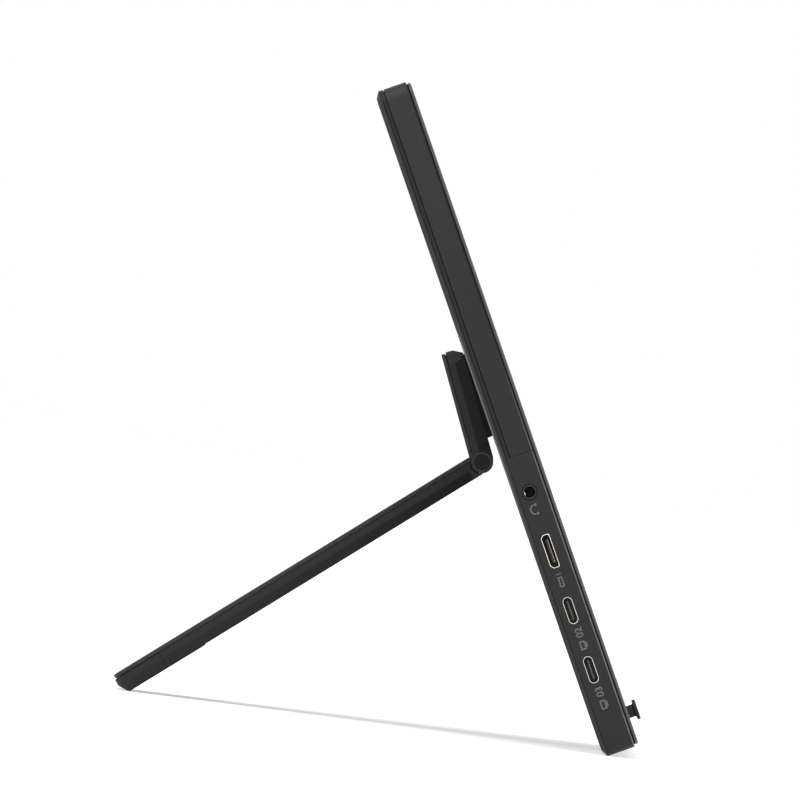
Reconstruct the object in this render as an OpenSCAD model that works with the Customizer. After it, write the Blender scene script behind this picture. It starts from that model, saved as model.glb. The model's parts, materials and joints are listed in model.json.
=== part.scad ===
// A slim portable display that stands by itself. The flat case leans back on its lower edge.
// An L-shaped stand on its back carries it: a base plate that swivels on a round hub, and a leg
// that folds out of the base plate on a hinge. All sizes are in millimetres.
// The case is drawn upright first, in its own frame: X to the right as seen from the front,
// Y = 0 on the back face and negative towards the screen, Z = 0 on the lower edge. lean() then
// leans it back and sets the whole part on Z = 0.

/* [Case] */
// Radius of the case's corners, seen from the front
corner_r = 4.5; // [3:0.5:8]
// Angle that the case leans back from upright
recline = 26.3; // [20:0.1:32]
// Depth of the rear cover's rim
rear_d = 2.75; // [2.5:0.05:3.5]
// Width of the groove between the rear cover and the frame
rear_groove = 0.3; // [0.2:0.05:0.5]
// Depth of the frame's side face
frame_d = 7.45; // [6.8:0.05:9]
// Width of the groove between the frame and the bezel
front_groove = 0.5; // [0.4:0.05:0.8]
// Depth of the bezel's edge
bezel_d = 0.9; // [0.85:0.05:1.3]
// How far the bezel's edge stands back from the frame's
bezel_set = 0.65; // [0.3:0.05:1]
// Wall of the rear cover
rear_wall = 1.4; // [1.2:0.05:1.6]
// Depth of the chamfer round the rear cover
chamfer_d = 1.3; // [1:0.05:1.6]
// Width of the chamfer round the rear cover
chamfer_w = 2.2; // [1.5:0.05:2.4]
// Wall of the frame
frame_wall = 2.6; // [2:0.05:2.8]

/* [Screen] */
// Width of the picture
picture_w = 344.2; // [320:0.1:345]
// Height of the picture
picture_h = 193.6; // [180:0.1:194]
// Height of the chin below the picture
chin_h = 23; // [22:0.5:25]
// Height of the case above the picture
brow_h = 7.4; // [7:0.1:12]
// Width of the case beside the picture
cheek_w = 6.4; // [6:0.1:12]
// Thickness of the bezel over the edge of the glass
lip_t = 0.8; // [0.7:0.05:0.85]
// Thickness of the glass sandwich
cell_t = 1.2; // [1:0.05:1.4]
// Depth of the metal tray behind the glass
tray_d = 2.15; // [1.9:0.05:2.3]
// Thickness of the tray's sheet
tray_t = 0.3; // [0.2:0.05:0.4]
// Border of the panel at its sides and top
panel_border = 2.4; // [2:0.1:2.6]
// Border of the panel at its foot
panel_foot = 5.8; // [5:0.1:6]

/* [Sockets] */
// Distance of the sockets' centres from the back face
socket_depth = 5.2; // [5.1:0.05:5.3]
// Height of the lower USB-C socket above the lower edge
usb_low_z = 27.8; // [24:0.1:30]
// Distance between neighbouring sockets
socket_step = 19.95; // [18:0.05:21]
// Length of a USB-C socket's mouth
usb_w = 8.94; // [8.9:0.01:9.1]
// Width of a USB-C socket's mouth
usb_t = 3.2; // [3.16:0.01:3.3]
// Depth of the USB-C and HDMI sockets
socket_len = 7.5; // [7:0.1:9]
// Length of the small HDMI socket's mouth
hdmi_w = 11.2; // [11:0.05:11.5]
// Width of the small HDMI socket's mouth
hdmi_t = 3.05; // [3:0.05:3.25]
// Wall of the sockets' shells
shell_t = 0.25; // [0.2:0.05:0.35]
// Bore of the headphone socket, for a plug of 3.5 mm
jack_bore_r = 1.8; // [1.76:0.01:1.85]
// Depth of the headphone socket's bore
jack_bore_len = 14; // [12:0.5:16]
// Radius of the headphone socket's collar
jack_collar_r = 2.55; // [2.4:0.05:2.7]
// Height of the side piece above the headphone socket's centre
side_piece_above = 12.35; // [8:0.05:20]

/* [Board] */
// Width of the main board
board_w = 112; // [95:1:130]
// Height of the main board above the headphone socket's centre
board_above = 16.15; // [14:0.05:24]
// Height of the main board below the lower USB-C socket's centre
board_below = 8; // [7:0.5:9]
// Thickness of the boards
board_t = 1; // [0.8:0.05:1.05]

/* [Joystick] */
// Distance of the joystick from the sockets' side
joy_in = 28.5; // [20:0.5:60]
// Height of the joystick above the lower edge
joy_z = 10.9; // [10.5:0.1:12]
// How far the joystick stands out of the bezel
joy_out = 3.35; // [3:0.05:4]
// Radius of the joystick's cap
joy_cap_r = 3.25; // [3.15:0.05:3.5]
// Radius of the joystick's neck
joy_neck_r = 1.95; // [1.8:0.05:2.15]
// Radius of the joystick's stem
joy_stem_r = 1.05; // [0.9:0.05:1.1]
// Tilt of the joystick each way
joy_tilt = 6; // [4:0.5:6.5]
// Travel of the joystick when it is pressed
joy_push = 0.5; // [0.3:0.05:0.5]
// Width of the joystick's housing
joy_box_w = 10; // [9.5:0.1:11]

/* [Stand] */
// Width of the stand
stand_w = 96; // [90:1:110]
// Distance of the hinge's axis behind the back face
hinge_out = 6; // [5.9:0.05:7]
// Height of the hinge's axis above the lower edge
hinge_up = 101.3; // [98:0.1:105]
// Angle between the base plate and the back face
plate_tilt = 3.8; // [3:0.1:4]
// Length of the base plate above the hinge's axis
plate_len = 37.2; // [36:0.1:40]
// Half the thickness of the base plate, and radius of its hinge barrel
plate_half = 3.6; // [3.5:0.05:3.8]
// Half the thickness of the leg
leg_half = 3.4; // [3.2:0.05:3.45]
// Length of the leg from the hinge's axis
leg_len = 137.5; // [134:0.1:145]
// Length of the rubber foot on the leg
foot_len = 16.7; // [14:0.1:20]
// Length of the rubber strip under the leg's end
strip_len = 30.3; // [24:0.1:35]
// How far the rubber strip stands proud
strip_t = 0.3; // [0.2:0.05:0.5]
// Thickness of the covers on the stand
cover_t = 1.2; // [1:0.05:1.4]
// Width of the groove under the stand's covers
cover_groove = 0.3; // [0.2:0.05:0.4]
// Radius of the rounded corners on the stand
stand_r = 6; // [4:0.5:10]

/* [Hub and hinge] */
// Height of the swivel's axis above the lower edge
swivel_up = 121.5; // [120:0.1:123]
// Radius of the hub between the base plate and the back
hub_r = 13.5; // [12.5:0.1:13.5]
// Radius of the hub's spigot in its bushing
spigot_r = 11; // [10:0.1:11.2]
// Radius of the opening for the bushing
socket_r = 14; // [13.5:0.1:14.5]
// Swivel of the stand each way
swivel_range = 90; // [60:5:90]
// Radius of the hinge pins
pin_r = 1.3; // [1.1:0.05:1.5]
// Radius of the end caps on the hinge barrel
end_cap_r = 3.1; // [2.8:0.05:3.2]
// Length of the base plate's outer knuckles
outer_knuckle = 12; // [10:0.5:14]
// Length of the leg's knuckles
leg_knuckle = 14; // [12:0.5:16]
// Radius at which the leg's body starts, from the hinge's axis
leg_start_r = 3.85; // [3.8:0.05:4.2]
// How far the leg opens past the angle at which it stands, up to its stop
leg_stop = 1.5; // [1:0.5:4]

/* [Fits] */
// Clearance of a running fit, on the radius
run_fit = 0.05; // [0.03:0.01:0.06]
// Clearance between fixed pieces
gap = 0.05; // [0.02:0.01:0.08]
// Gap at the ends of a knuckle
knuckle_gap = 0.15; // [0.1:0.05:0.2]
// Width of the seam round the sockets' side piece
seam = 0.1; // [0.1:0.05:0.3]

/* [Hidden] */
$fn = 64;
// Size of the case, from the picture and its borders
case_w = picture_w + 2 * cheek_w;
case_h = chin_h + picture_h + brow_h;
// Depths of the case's layers
frame_back = -(rear_d + rear_groove);
frame_front = frame_back - frame_d;
bezel_back = frame_front - front_groove;
front = bezel_back - bezel_d;
// Tongues that carry the rear cover and the bezel on the frame
tongue_set = 0.9;
tongue_w = 1;
bezel_tongue_set = 1.5;
bezel_rib_set = 2.2;
// The panel's stack, from the bezel backwards
cell_front = front + lip_t + gap;
cell_back = cell_front + cell_t;
tray_back = cell_back + tray_d;
shelf_t = 0.75;
shelf_w = 3.4;
shelf_foot_w = 3.3;
panel_w = picture_w + 2 * panel_border;
panel_low = chin_h - panel_foot;
panel_high = chin_h + picture_h + panel_border;
bezel_margin = 0.5;
// Behind the tray: light strip, driver board and ribbon
led_strip_w = 2.2;
led_count = 24;
led_end = 6;
led_w = 3.4;
led_h = 1.5;
led_tape_t = 0.4;
led_t = 0.8;
led_step = (panel_w - 2 * led_end - led_w) / (led_count - 1);
driver_from = 80;
driver_to = 8;
driver_h = 9;
driver_t = 0.7;
driver_z = panel_low + shelf_foot_w + 1;
driver_chip = [12, 0.7, 3];
driver_chips = 4;
ribbon_w = 18;
ribbon_t = 0.25;
ribbon_from = 26;
ribbon_up = 16;
ribbon_lap = 2;
// Sockets and main board
side_x = -case_w / 2;
socket_y = -socket_depth;
usb_z = [usb_low_z, usb_low_z + socket_step];
hdmi_z = usb_low_z + 2 * socket_step;
jack_z = usb_low_z + 3 * socket_step;
side_piece_w = 6;
side_piece_back = -(rear_wall + seam);
board_front = socket_y + usb_t / 2;
board_back = board_front + board_t;
board_x = side_x + frame_wall + 1;
side_piece_h = jack_z + side_piece_above;
board_low = usb_low_z - board_below;
board_h = jack_z + board_above - board_low;
jack_body_w = 6;
jack_body_t = 2 * (jack_bore_r + 0.45);
boss_r = 2.6;
boss_hole_r = 0.8;
boss_inset_x = 9;
boss_inset_z = 4;
tongue_back = 1.6;
tongue_t = 0.7;
usb_tongue_w = 6.7;
usb_tongue_in = 0.9;
hdmi_tongue_w = 8;
hdmi_tongue_in = 1.1;
contact_at = [5, 8.5];
contact_w = 1.4;
contact_t = 1;
shield_h = 2;
shield_w = 42;
shield_d = 20;
shield_in = 14;
shield_x = board_w / 2 - shield_in;
shield_z = board_h / 2 - shield_d / 2;
// Chips under the shield and beside it: place on the board, then width, depth along the board, height
shield_chips = [[2, 2, 16, 16, 1.2], [30, 5, 9, 9, 1]];
open_side = 20;
open_low = 8;
open_high = 28;
open_chips = [[board_w - open_side, shield_z + open_low, 6, 8, 1.4],
    [open_side, shield_z + open_high, 5, 6, 1.1]];
coil_w = 4.4;
coil_h = 1.8;
coil_count = 4;
coil_step = 8;
coil_at = [30, 12];
screw_head_r = 1.5;
screw_head_h = 0.7;
// Joystick: depths along Y from the pivot of both tilts
joy_x = side_x + joy_in;
joy_pivot_in = 4.5;
joy_pivot = front + joy_pivot_in;
joy_ring_t = 1.6;
joy_ring_r = 3.5;
joy_ring_bore = 2.6;
joy_rocker_r = 2.3;
joy_pin_r = 0.5;
joy_cavity_r = 3.9;
joy_hole_r = 3;
joy_shelf_hole = joy_box_w + 1;
joy_board_front = joy_pivot + 3.6;
joy_front = joy_pivot - 2;
joy_rim = 0.75;
joy_fillet = 0.4;
joy_foot_gap = joy_push + 0.2;
joy_stem_out = 4;
joy_stem_in = 2.3;
joy_board_side = 6;
joy_board_w = joy_box_w + 2 * joy_board_side;
joy_board_h = 12;
joy_neck_in = joy_ring_t / 2 + joy_foot_gap;
joy_reach = joy_pivot - front + joy_out;
// Stand: places of the base plate and the leg
cover_set = 0.8;
bevel_d = 0.3;
bevel_w = 1.8;
strip_r = leg_len - strip_len;
foot_r = leg_len - foot_len;
tip_chamfer = 2.1;
cover_short = 0.4;
plate_under = plate_half - 0.2;
plate_low_under = plate_half + 0.3;
plate_low = 0.8;
plate_low_angle = 15;
plate_bevel_h = 1.6;
bevel_from = 5;
cover_from = plate_half + 0.9;
plate_start_r = plate_half + 0.6;
stop_gap = 0.1;
stop_slack = 0.5;
neck_half = 2.4;
outer_in = stand_w / 2 - outer_knuckle;
middle_half = outer_in - leg_knuckle;
cap_t = 1;
pin_in = 6;
sleeve_r = pin_r + 1;
plate_top = plate_half - cover_t - cover_groove;
leg_top = leg_half - cover_t - cover_groove;
// Hub and bushing
hub_gap = 0.3;
bushing_bore = spigot_r + run_fit;
flange_w = 4.5;
flange_r = socket_r + flange_w;
flange_t = 1;
washer_t = 0.4;
retainer_t = 1;
retainer_r = socket_r + 1;
stop_tab = 8;
stop_pin_r = 1;
stop_r = socket_r + 2.9;
stop_angle = swivel_range + stop_tab + asin(stop_pin_r / stop_r) + 1;
spigot_end = -(rear_wall + flange_t + 2 * gap + washer_t);
hub_screw_ring = 6;
// Angle of the leg at which its end and the case's lower edge stand on one level
hinge_h = hinge_up * cos(recline) - (hinge_out + chamfer_d) * sin(recline);
foot_under = leg_half + strip_t;
foot_reach = leg_len - tip_chamfer;
foot_edge = 0.2;
leg_pitch = asin(hinge_h / norm([foot_reach, foot_under])) - atan2(foot_under, foot_reach);
leg_angle = 90 + recline - leg_pitch;
// Place of the leaned case
hinge_y = hinge_out * cos(recline) + hinge_up * sin(recline);
tail_y = hinge_y + max((leg_len - cover_short) * cos(leg_pitch) + leg_half * sin(leg_pitch),
    leg_len * cos(leg_pitch) + (leg_half - cover_t - cover_groove) * sin(leg_pitch));
nose_y = min(front * cos(recline) + bezel_set * sin(recline),
    (front - joy_out) * cos(recline) + (joy_z - joy_cap_r) * sin(recline));
mid_y = (tail_y + nose_y) / 2;
low_z = chamfer_d * sin(recline);

// ---- Shared shapes ----

// Leans the upright case back and sets it on the ground
module lean() translate([0, -mid_y, -low_z]) rotate([-recline, 0, 0]) children();

// Rounded rectangle of the case's outline, drawn in by inset on each side
module case_outline(inset) {
    r = max(corner_r - inset, 0.6);
    w = case_w - 2 * inset;
    h = case_h - 2 * inset;
    translate([-w / 2, inset]) {
        translate([r, 0]) square([w - 2 * r, h]);
        translate([0, r]) square([w, h - 2 * r]);
        for (x = [r, w - r], y = [r, h - r]) translate([x, y]) circle(r);
    }
}

// Extrudes a front-view outline between two depths
module deep(y_a, y_b)
    translate([0, max(y_a, y_b), 0]) rotate([90, 0, 0]) linear_extrude(abs(y_a - y_b)) children();

// Slab of the case's outline between two depths
module case_slab(inset, y_a, y_b) deep(y_a, y_b) case_outline(inset);

// Ring of the case's outline between two insets
module case_ring(inset_a, inset_b, y_a, y_b)
    deep(y_a, y_b) difference() { case_outline(inset_a); case_outline(inset_b); }

// Box given by its lowest and highest corners
module span(a, b) translate(a) cube(b - a);

// Round bar along Y between two depths
module round_y(r, y_a, y_b)
    translate([0, max(y_a, y_b), 0]) rotate([90, 0, 0]) cylinder(abs(y_a - y_b), r, r);

// Round bar along X, from x_a to x_b
module round_x(r, x_a, x_b)
    translate([min(x_a, x_b), 0, 0]) rotate([0, 90, 0]) cylinder(abs(x_b - x_a), r, r);

// Extrudes a side-view outline, drawn as [Y, Z], between two places along X
module wide(x_a, x_b)
    translate([min(x_a, x_b), 0, 0]) rotate([90, 0, 90]) linear_extrude(abs(x_b - x_a)) children();

// ---- Case ----

module rear_cover() color("#3a3b3d") lean() difference() {
    union() {
        difference() {
            hull() {
                case_slab(0, -rear_d, -chamfer_d);
                case_slab(chamfer_w, -rear_d, 0);
            }
            case_slab(tongue_set + tongue_w, -rear_d - 1, -rear_wall);
        }
        case_ring(tongue_set, tongue_set + tongue_w, frame_back, -rear_d + 0.1);
        main_board_holes() round_y(boss_r, board_back, -rear_wall + 0.1);
        joystick_board_holes() round_y(boss_r - 0.8, joy_board_front + board_t, -rear_wall + 0.1);
    }
    translate([0, 0, swivel_up]) round_y(socket_r, -rear_d, 1);
    main_board_holes() round_y(boss_hole_r, board_back - 1, -rear_wall + 0.7);
    side_piece_zone(seam, -rear_wall);
}

// Places of the main board's screws
module main_board_holes()
    for (x = [board_x + boss_inset_x, board_x + board_w - boss_inset_x],
         z = [board_low + boss_inset_z, board_low + board_h - boss_inset_z])
        translate([x, 0, z]) children();

// Places of the bosses under the joystick's board
module joystick_board_holes()
    for (x = [-1, 1]) translate([joy_x + x * (joy_box_w / 2 + 3), 0, joy_z]) children();

// The side piece takes the lower end of the frame and of the rear cover's rim, on the sockets' side
module side_piece_zone(margin, back)
    span([side_x - 1, frame_front - 1, -1], [side_x + side_piece_w + margin, back, side_piece_h + margin]);

module mid_frame() color("#323336") lean() difference() {
    union() {
        case_ring(0, frame_wall, frame_back, frame_front);
        difference() {
            case_slab(frame_wall - 0.1, tray_back, tray_back + shelf_t);
            span([-panel_w / 2 + shelf_w, tray_back - 1, panel_low + shelf_foot_w],
                 [panel_w / 2 - shelf_w, tray_back + 2, panel_high - shelf_w]);
            span([side_x, tray_back - 1, panel_low + shelf_foot_w],
                 [-panel_w / 2 + shelf_w + 1, tray_back + 2, side_piece_h + seam]);
            translate([joy_x, tray_back, joy_z])
                cube([joy_shelf_hole, 3, joy_shelf_hole], center = true);
        }
    }
    side_piece_zone(seam, frame_back + 1);
}

// Stadium of a USB-C mouth, drawn as [Y, Z]
module usb_outline(grow) {
    r = usb_t / 2 + grow;
    half = usb_w / 2 - usb_t / 2;
    for (z = [-half, half]) translate([0, z]) circle(r);
    translate([-r, -half]) square([2 * r, 2 * half]);
}

// Mouth of the small HDMI socket: its two corners towards the back are cut off
module hdmi_outline(grow) {
    w = hdmi_w / 2 + grow;
    t = hdmi_t / 2 + grow;
    cut = 1 + grow / 2;
    polygon([[-t, -w], [t - 0.9 * cut, -w], [t, -w + cut], [t, w - cut], [t - 0.9 * cut, w], [-t, w]]);
}

module socket_side_piece() color("#323336") lean() difference() {
    intersection() {
        case_ring(0, frame_wall, side_piece_back, frame_front);
        side_piece_zone(0, side_piece_back);
    }
    for (z = usb_z) translate([0, socket_y, z])
        wide(side_x - 1, side_x + frame_wall + 1) usb_outline(gap);
    translate([0, socket_y, hdmi_z]) wide(side_x - 1, side_x + frame_wall + 1) hdmi_outline(gap);
    translate([0, socket_y, jack_z]) round_x(jack_collar_r + gap, side_x - 1, side_x + frame_wall + 1);
}

module front_bezel() color("#2b2c2e") lean() difference() {
    union() {
        hull() {
            case_slab(bezel_set, bezel_back, front + 0.4);
            case_slab(bezel_set + 0.4, bezel_back, front);
        }
        case_ring(bezel_tongue_set, bezel_rib_set, frame_front, bezel_back - 0.1);
    }
    case_opening(bezel_margin, front - 1, bezel_back + 1);
    panel_space(4 * gap, cell_front - gap, bezel_back + 1);
    translate([joy_x, 0, joy_z]) round_y(joy_hole_r, front - 1, bezel_back + 1);
}

// Space of the picture, grown by a margin
module case_opening(margin, y_a, y_b)
    span([-picture_w / 2 - margin, y_a, chin_h - margin],
         [picture_w / 2 + margin, y_b, chin_h + picture_h + margin]);

// Space of the panel, grown by a margin
module panel_space(margin, y_a, y_b)
    span([-panel_w / 2 - margin, y_a, panel_low - margin],
         [panel_w / 2 + margin, y_b, panel_high + margin]);

// ---- Panel ----

module lcd_glass() color("#101214") lean() panel_space(-0.2, cell_front, cell_back);

module panel_tray() color("#a9adb0") lean() difference() {
    panel_space(0, cell_back, tray_back);
    panel_space(-tray_t, cell_back - 1, tray_back - tray_t);
}

module light_guide() color("#e8ecee") lean() difference() {
    panel_space(-tray_t - gap, cell_back + gap, tray_back - tray_t);
    span([-panel_w / 2, cell_back - 1, panel_low - 1],
         [panel_w / 2, tray_back + 1, panel_low + tray_t + led_strip_w + 2 * gap]);
}

module led_strip() color("#f2efd8") lean() {
    z = panel_low + tray_t + gap;
    y = tray_back - tray_t;
    span([-panel_w / 2 + led_end, y - led_tape_t, z], [panel_w / 2 - led_end, y, z + led_strip_w]);
    for (i = [0 : led_count - 1]) translate([(i - (led_count - 1) / 2) * led_step, 0, 0])
        span([-led_w / 2, y - led_tape_t - led_t, z + led_strip_w - led_h],
             [led_w / 2, y - led_tape_t, z + led_strip_w]);
}

module panel_driver_board() color("#24523a") lean() {
    y = tray_back + driver_t;
    low_x = -panel_w / 2 + driver_from;
    high_x = panel_w / 2 - driver_to;
    span([low_x, tray_back, driver_z], [high_x, y, driver_z + driver_h]);
    for (i = [0 : driver_chips - 1])
        translate([low_x + (i + 0.5) * (high_x - low_x) / driver_chips, y, driver_z + driver_h / 3])
            cube(driver_chip);
}

module panel_ribbon() color("#c8a25a") lean() {
    x = board_x + board_w - ribbon_from;
    y = tray_back + driver_t;
    z = driver_z + driver_h;
    span([x, y, z - ribbon_lap], [x + ribbon_w, y + ribbon_t, z + ribbon_up]);
    span([x, y, z + ribbon_up], [x + ribbon_w, board_front, z + ribbon_up + ribbon_t]);
}

// ---- Boards and sockets ----

module main_board() color("#1f4a35") lean() difference() {
    span([board_x, board_front, board_low], [board_x + board_w, board_back, board_low + board_h]);
    main_board_holes() round_y(boss_hole_r, board_front - 1, board_back + 1);
    translate([side_x, 0, jack_z])
        span([-1, board_front - 1, -jack_body_w / 2 - 2 * gap],
             [jack_bore_len + 1 + 2 * gap, board_back + 1, jack_body_w / 2 + 2 * gap]);
}

module board_screws() color("#9a9ea1") lean() main_board_holes() {
    round_y(screw_head_r, board_front, board_front - screw_head_h);
    round_y(boss_hole_r - gap, board_front, -rear_wall + 0.5);
}

module board_chips() color("#17181a") lean() {
    for (c = shield_chips) chip([shield_x + c[0], shield_z + c[1]], [c[2], c[3]], c[4]);
    for (c = open_chips) chip([c[0], c[1]], [c[2], c[3]], c[4]);
    for (i = [0 : coil_count - 1]) chip([coil_at[0] + coil_step * i, coil_at[1]], [coil_w, coil_w], coil_h);
}

// A chip on the board's front face, placed from the board's lower corner
module chip(at, size, height)
    translate([board_x + at.x, board_front - height, board_low + at.y]) cube([size.x, height, size.y]);

module chip_shield() color("#b7babd") lean()
    translate([board_x + shield_x, board_front, board_low + shield_z]) difference() {
        span([0, -shield_h, 0], [shield_w, 0, shield_d]);
        span([tray_t, -shield_h + tray_t, tray_t], [shield_w - tray_t, 1, shield_d - tray_t]);
    }

// Shell of a socket between the side face and its inner end
module socket_shell(z) translate([0, socket_y, z]) wide(side_x, side_x + socket_len) children();

module usb_c_shell(z) color("#d5d7d9") lean() difference() {
    socket_shell(z) usb_outline(0);
    translate([0, socket_y, z]) wide(side_x - 1, side_x + socket_len + 1) usb_outline(-shell_t);
}

module usb_c_shell_1() usb_c_shell(usb_z[0]);

module usb_c_shell_2() usb_c_shell(usb_z[1]);

// Flat tongue in the middle of a mouth, from the inner end to a distance behind the side face
module tongue(width, from)
    span([side_x + from, -tongue_t / 2, -width / 2],
         [side_x + socket_len - tongue_back, tongue_t / 2, width / 2]);

module usb_c_tongues() color("#26272a") lean()
    for (z = usb_z) translate([0, socket_y, z]) {
        wide(side_x + socket_len - tongue_back, side_x + socket_len) usb_outline(-shell_t);
        tongue(usb_tongue_w, usb_tongue_in);
    }

module hdmi_shell() color("#d5d7d9") lean() difference() {
    socket_shell(hdmi_z) hdmi_outline(0);
    translate([0, socket_y, hdmi_z]) wide(side_x - 1, side_x + socket_len + 1) hdmi_outline(-shell_t);
}

module hdmi_tongue() color("#26272a") lean() translate([0, socket_y, hdmi_z]) {
    wide(side_x + socket_len - tongue_back, side_x + socket_len) hdmi_outline(-shell_t);
    tongue(hdmi_tongue_w, hdmi_tongue_in);
}

module headphone_socket() color("#c9cccd") lean() translate([side_x, socket_y, jack_z]) difference() {
    union() {
        round_x(jack_collar_r, 0, frame_wall + 0.1);
        span([frame_wall, -jack_body_t / 2, -jack_body_w / 2],
             [jack_bore_len + 1, jack_body_t / 2, jack_body_w / 2]);
    }
    round_x(jack_bore_r, -1, jack_bore_len);
    for (x = contact_at) translate([x, 0, 0])
        span([0, -contact_t / 2, jack_bore_r - 0.5], [contact_w, contact_t / 2, jack_body_w / 2 + 1]);
}

module headphone_contacts() color("#d9b45c") lean() translate([side_x, socket_y, jack_z])
    for (x = contact_at) translate([x, 0, 0])
        span([gap, -contact_t / 2 + gap, jack_bore_r + 0.1],
             [contact_w - gap, contact_t / 2 - gap, jack_body_w / 2]);

// ---- Joystick ----

module joystick_board() color("#1f4a35") lean() translate([joy_x, joy_board_front, joy_z])
    span([-joy_board_w / 2, 0, -joy_board_h / 2], [joy_board_w / 2, board_t, joy_board_h / 2]);

module joystick_cable() color("#2a2a2c") lean() {
    x = joy_x + joy_board_w / 2 - 4;
    y = joy_board_front;
    z = joy_z + joy_board_h / 2;
    span([x - 1.5, y - 0.6, z - 4], [x + 1.5, y, z + 0.5]);
    span([x - 1.5, y - 0.6, z + 0.5], [x + 1.5, board_front, z + 1.1]);
    span([x - 1.5, board_front - 0.6, z + 1.1], [x + 1.5, board_front, board_low + 3]);
}

module joystick_housing() color("#1c1d1f") lean() translate([joy_x, 0, joy_z]) difference() {
    deep(joy_board_front, joy_front)
        translate([-joy_box_w / 2, -joy_box_w / 2]) square(joy_box_w);
    round_y(joy_cavity_r, joy_front + 0.6, joy_board_front + 1);
    round_y(joy_neck_r + 0.9, joy_front - 1, joy_front + 1);
    translate([0, joy_pivot, 0]) round_x(joy_pin_r + run_fit, -joy_box_w / 2 - 1, joy_box_w / 2 + 1);
}

module joystick_dome() color("#c9cccd") lean() translate([joy_x, joy_board_front, joy_z])
    rotate([90, 0, 0]) cylinder(0.5, 2.4, 1.2);

module joystick_cradle() color("#46484b") lean() translate([joy_x, joy_pivot, joy_z]) difference() {
    union() {
        round_y(joy_ring_r, -joy_ring_t / 2, joy_ring_t / 2);
        round_x(joy_pin_r, -joy_box_w / 2 + 0.2, joy_box_w / 2 - 0.2);
    }
    round_y(joy_ring_bore, -joy_ring_t, joy_ring_t);
    cylinder(2 * joy_ring_r + 1, joy_pin_r + run_fit, joy_pin_r + run_fit, center = true);
}

module joystick_rocker() color("#5a5c60") lean() translate([joy_x, joy_pivot, joy_z]) difference() {
    union() {
        round_y(joy_rocker_r, -joy_ring_t / 2, joy_ring_t / 2);
        cylinder(2 * joy_ring_r - 0.2, joy_pin_r, joy_pin_r, center = true);
    }
    round_y(joy_stem_r + run_fit, -joy_ring_t, joy_ring_t);
}

module joystick_stem() color("#8d9094") lean() translate([joy_x, joy_pivot, joy_z])
    round_y(joy_stem_r, joy_stem_in, -joy_stem_out);

// The cap is turned about the stem: a straight neck, a small fillet and a flat rim
module joystick_cap() color("#151617") lean() translate([joy_x, joy_pivot, joy_z]) rotate([90, 0, 0])
    difference() {
        rotate_extrude() polygon([[0, joy_neck_in], [joy_neck_r, joy_neck_in],
            for (a = [180 : -15 : 90]) [joy_neck_r + joy_fillet * (1 + cos(a)),
                joy_reach - joy_rim - joy_fillet * (1 - sin(a))],
            [joy_cap_r - 0.1, joy_reach - joy_rim], [joy_cap_r, joy_reach - joy_rim + 0.1],
            [joy_cap_r, joy_reach - 0.2], [joy_cap_r - 0.25, joy_reach], [0, joy_reach]]);
        cylinder(joy_stem_out + gap, joy_stem_r + gap / 2, joy_stem_r + gap / 2);
    }

// ---- Swivel ----

// Moves to the swivel's axis
module at_swivel() lean() translate([0, 0, swivel_up]) children();

module swivel_bushing() color("#8c9093") at_swivel() difference() {
    union() {
        round_y(socket_r - gap, 0, -rear_wall);
        round_y(flange_r, -rear_wall, -rear_wall - flange_t);
    }
    round_y(bushing_bore, 1, -rear_wall - flange_t - 1);
}

module swivel_stops() color("#b9bcbe") at_swivel()
    for (a = [-stop_angle, stop_angle]) rotate([0, a, 0]) translate([0, 0, stop_r])
        round_y(stop_pin_r, -rear_wall - flange_t, spigot_end - retainer_t);

// The hub fills the wedge between the back face and the tilted base plate
module swivel_hub() color("#2b2c2e") lean() difference() {
    union() {
        intersection() {
            translate([0, 0, swivel_up]) round_y(hub_r, hub_gap, hinge_out);
            at_plate() wide(-hub_r - 1, hub_r + 1)
                polygon([[-4 * plate_half, plate_low], [-plate_low_under, plate_low],
                    [-plate_under, plate_len - plate_bevel_h], [-4 * plate_half, plate_len]]);
        }
        translate([0, 0, swivel_up]) round_y(spigot_r, hub_gap + 0.1, spigot_end);
    }
    hub_screw_places() round_y(boss_hole_r, spigot_end - 1, -0.5);
}

module hub_screw_places() for (a = [0 : 90 : 270]) translate([0, 0, swivel_up]) rotate([0, a + 45, 0])
    translate([0, 0, hub_screw_ring]) children();

module swivel_washer() color("#b9bcbe") at_swivel() difference() {
    round_y(retainer_r - 0.5, spigot_end, spigot_end + washer_t);
    round_y(spigot_r + 0.2, 1, spigot_end - 1);
}

module swivel_retainer() color("#8c9093") lean() difference() {
    translate([0, 0, swivel_up]) {
        round_y(retainer_r, spigot_end, spigot_end - retainer_t);
        deep(spigot_end, spigot_end - retainer_t)
            polygon([[0, 0], for (a = [-stop_tab : 2 : stop_tab]) (stop_r + 1.2) * [sin(a), cos(a)]]);
    }
    hub_screw_places() round_y(boss_hole_r, spigot_end - retainer_t - 1, spigot_end + 1);
}

module hub_screws() color("#9a9ea1") lean() hub_screw_places() {
    round_y(screw_head_r, spigot_end - retainer_t, spigot_end - retainer_t - screw_head_h);
    round_y(boss_hole_r - gap, spigot_end - retainer_t, -0.7);
}

// ---- Stand ----

// Moves to the base plate's frame: Z runs up the plate from the hinge's axis, Y out of it
module at_plate() translate([0, hinge_out, hinge_up]) rotate([plate_tilt, 0, 0]) children();

// Moves to the leg's frame: the leg runs along -Z from the hinge's axis, with its cover on +Y
module at_leg() translate([0, hinge_out, hinge_up]) rotate([leg_angle, 0, 0]) children();

// The base plate seen from behind, drawn in by inset, with its lower end left open
module plate_plan(inset, low) {
    r = stand_r - inset;
    w = stand_w / 2 - inset;
    top = plate_len - inset;
    translate([-w, low]) square([2 * w, top - r - low]);
    translate([-w + r, low]) square([2 * (w - r), top - low]);
    for (x = [-w + r, w - r]) translate([x, top - r]) circle(r);
}

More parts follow.
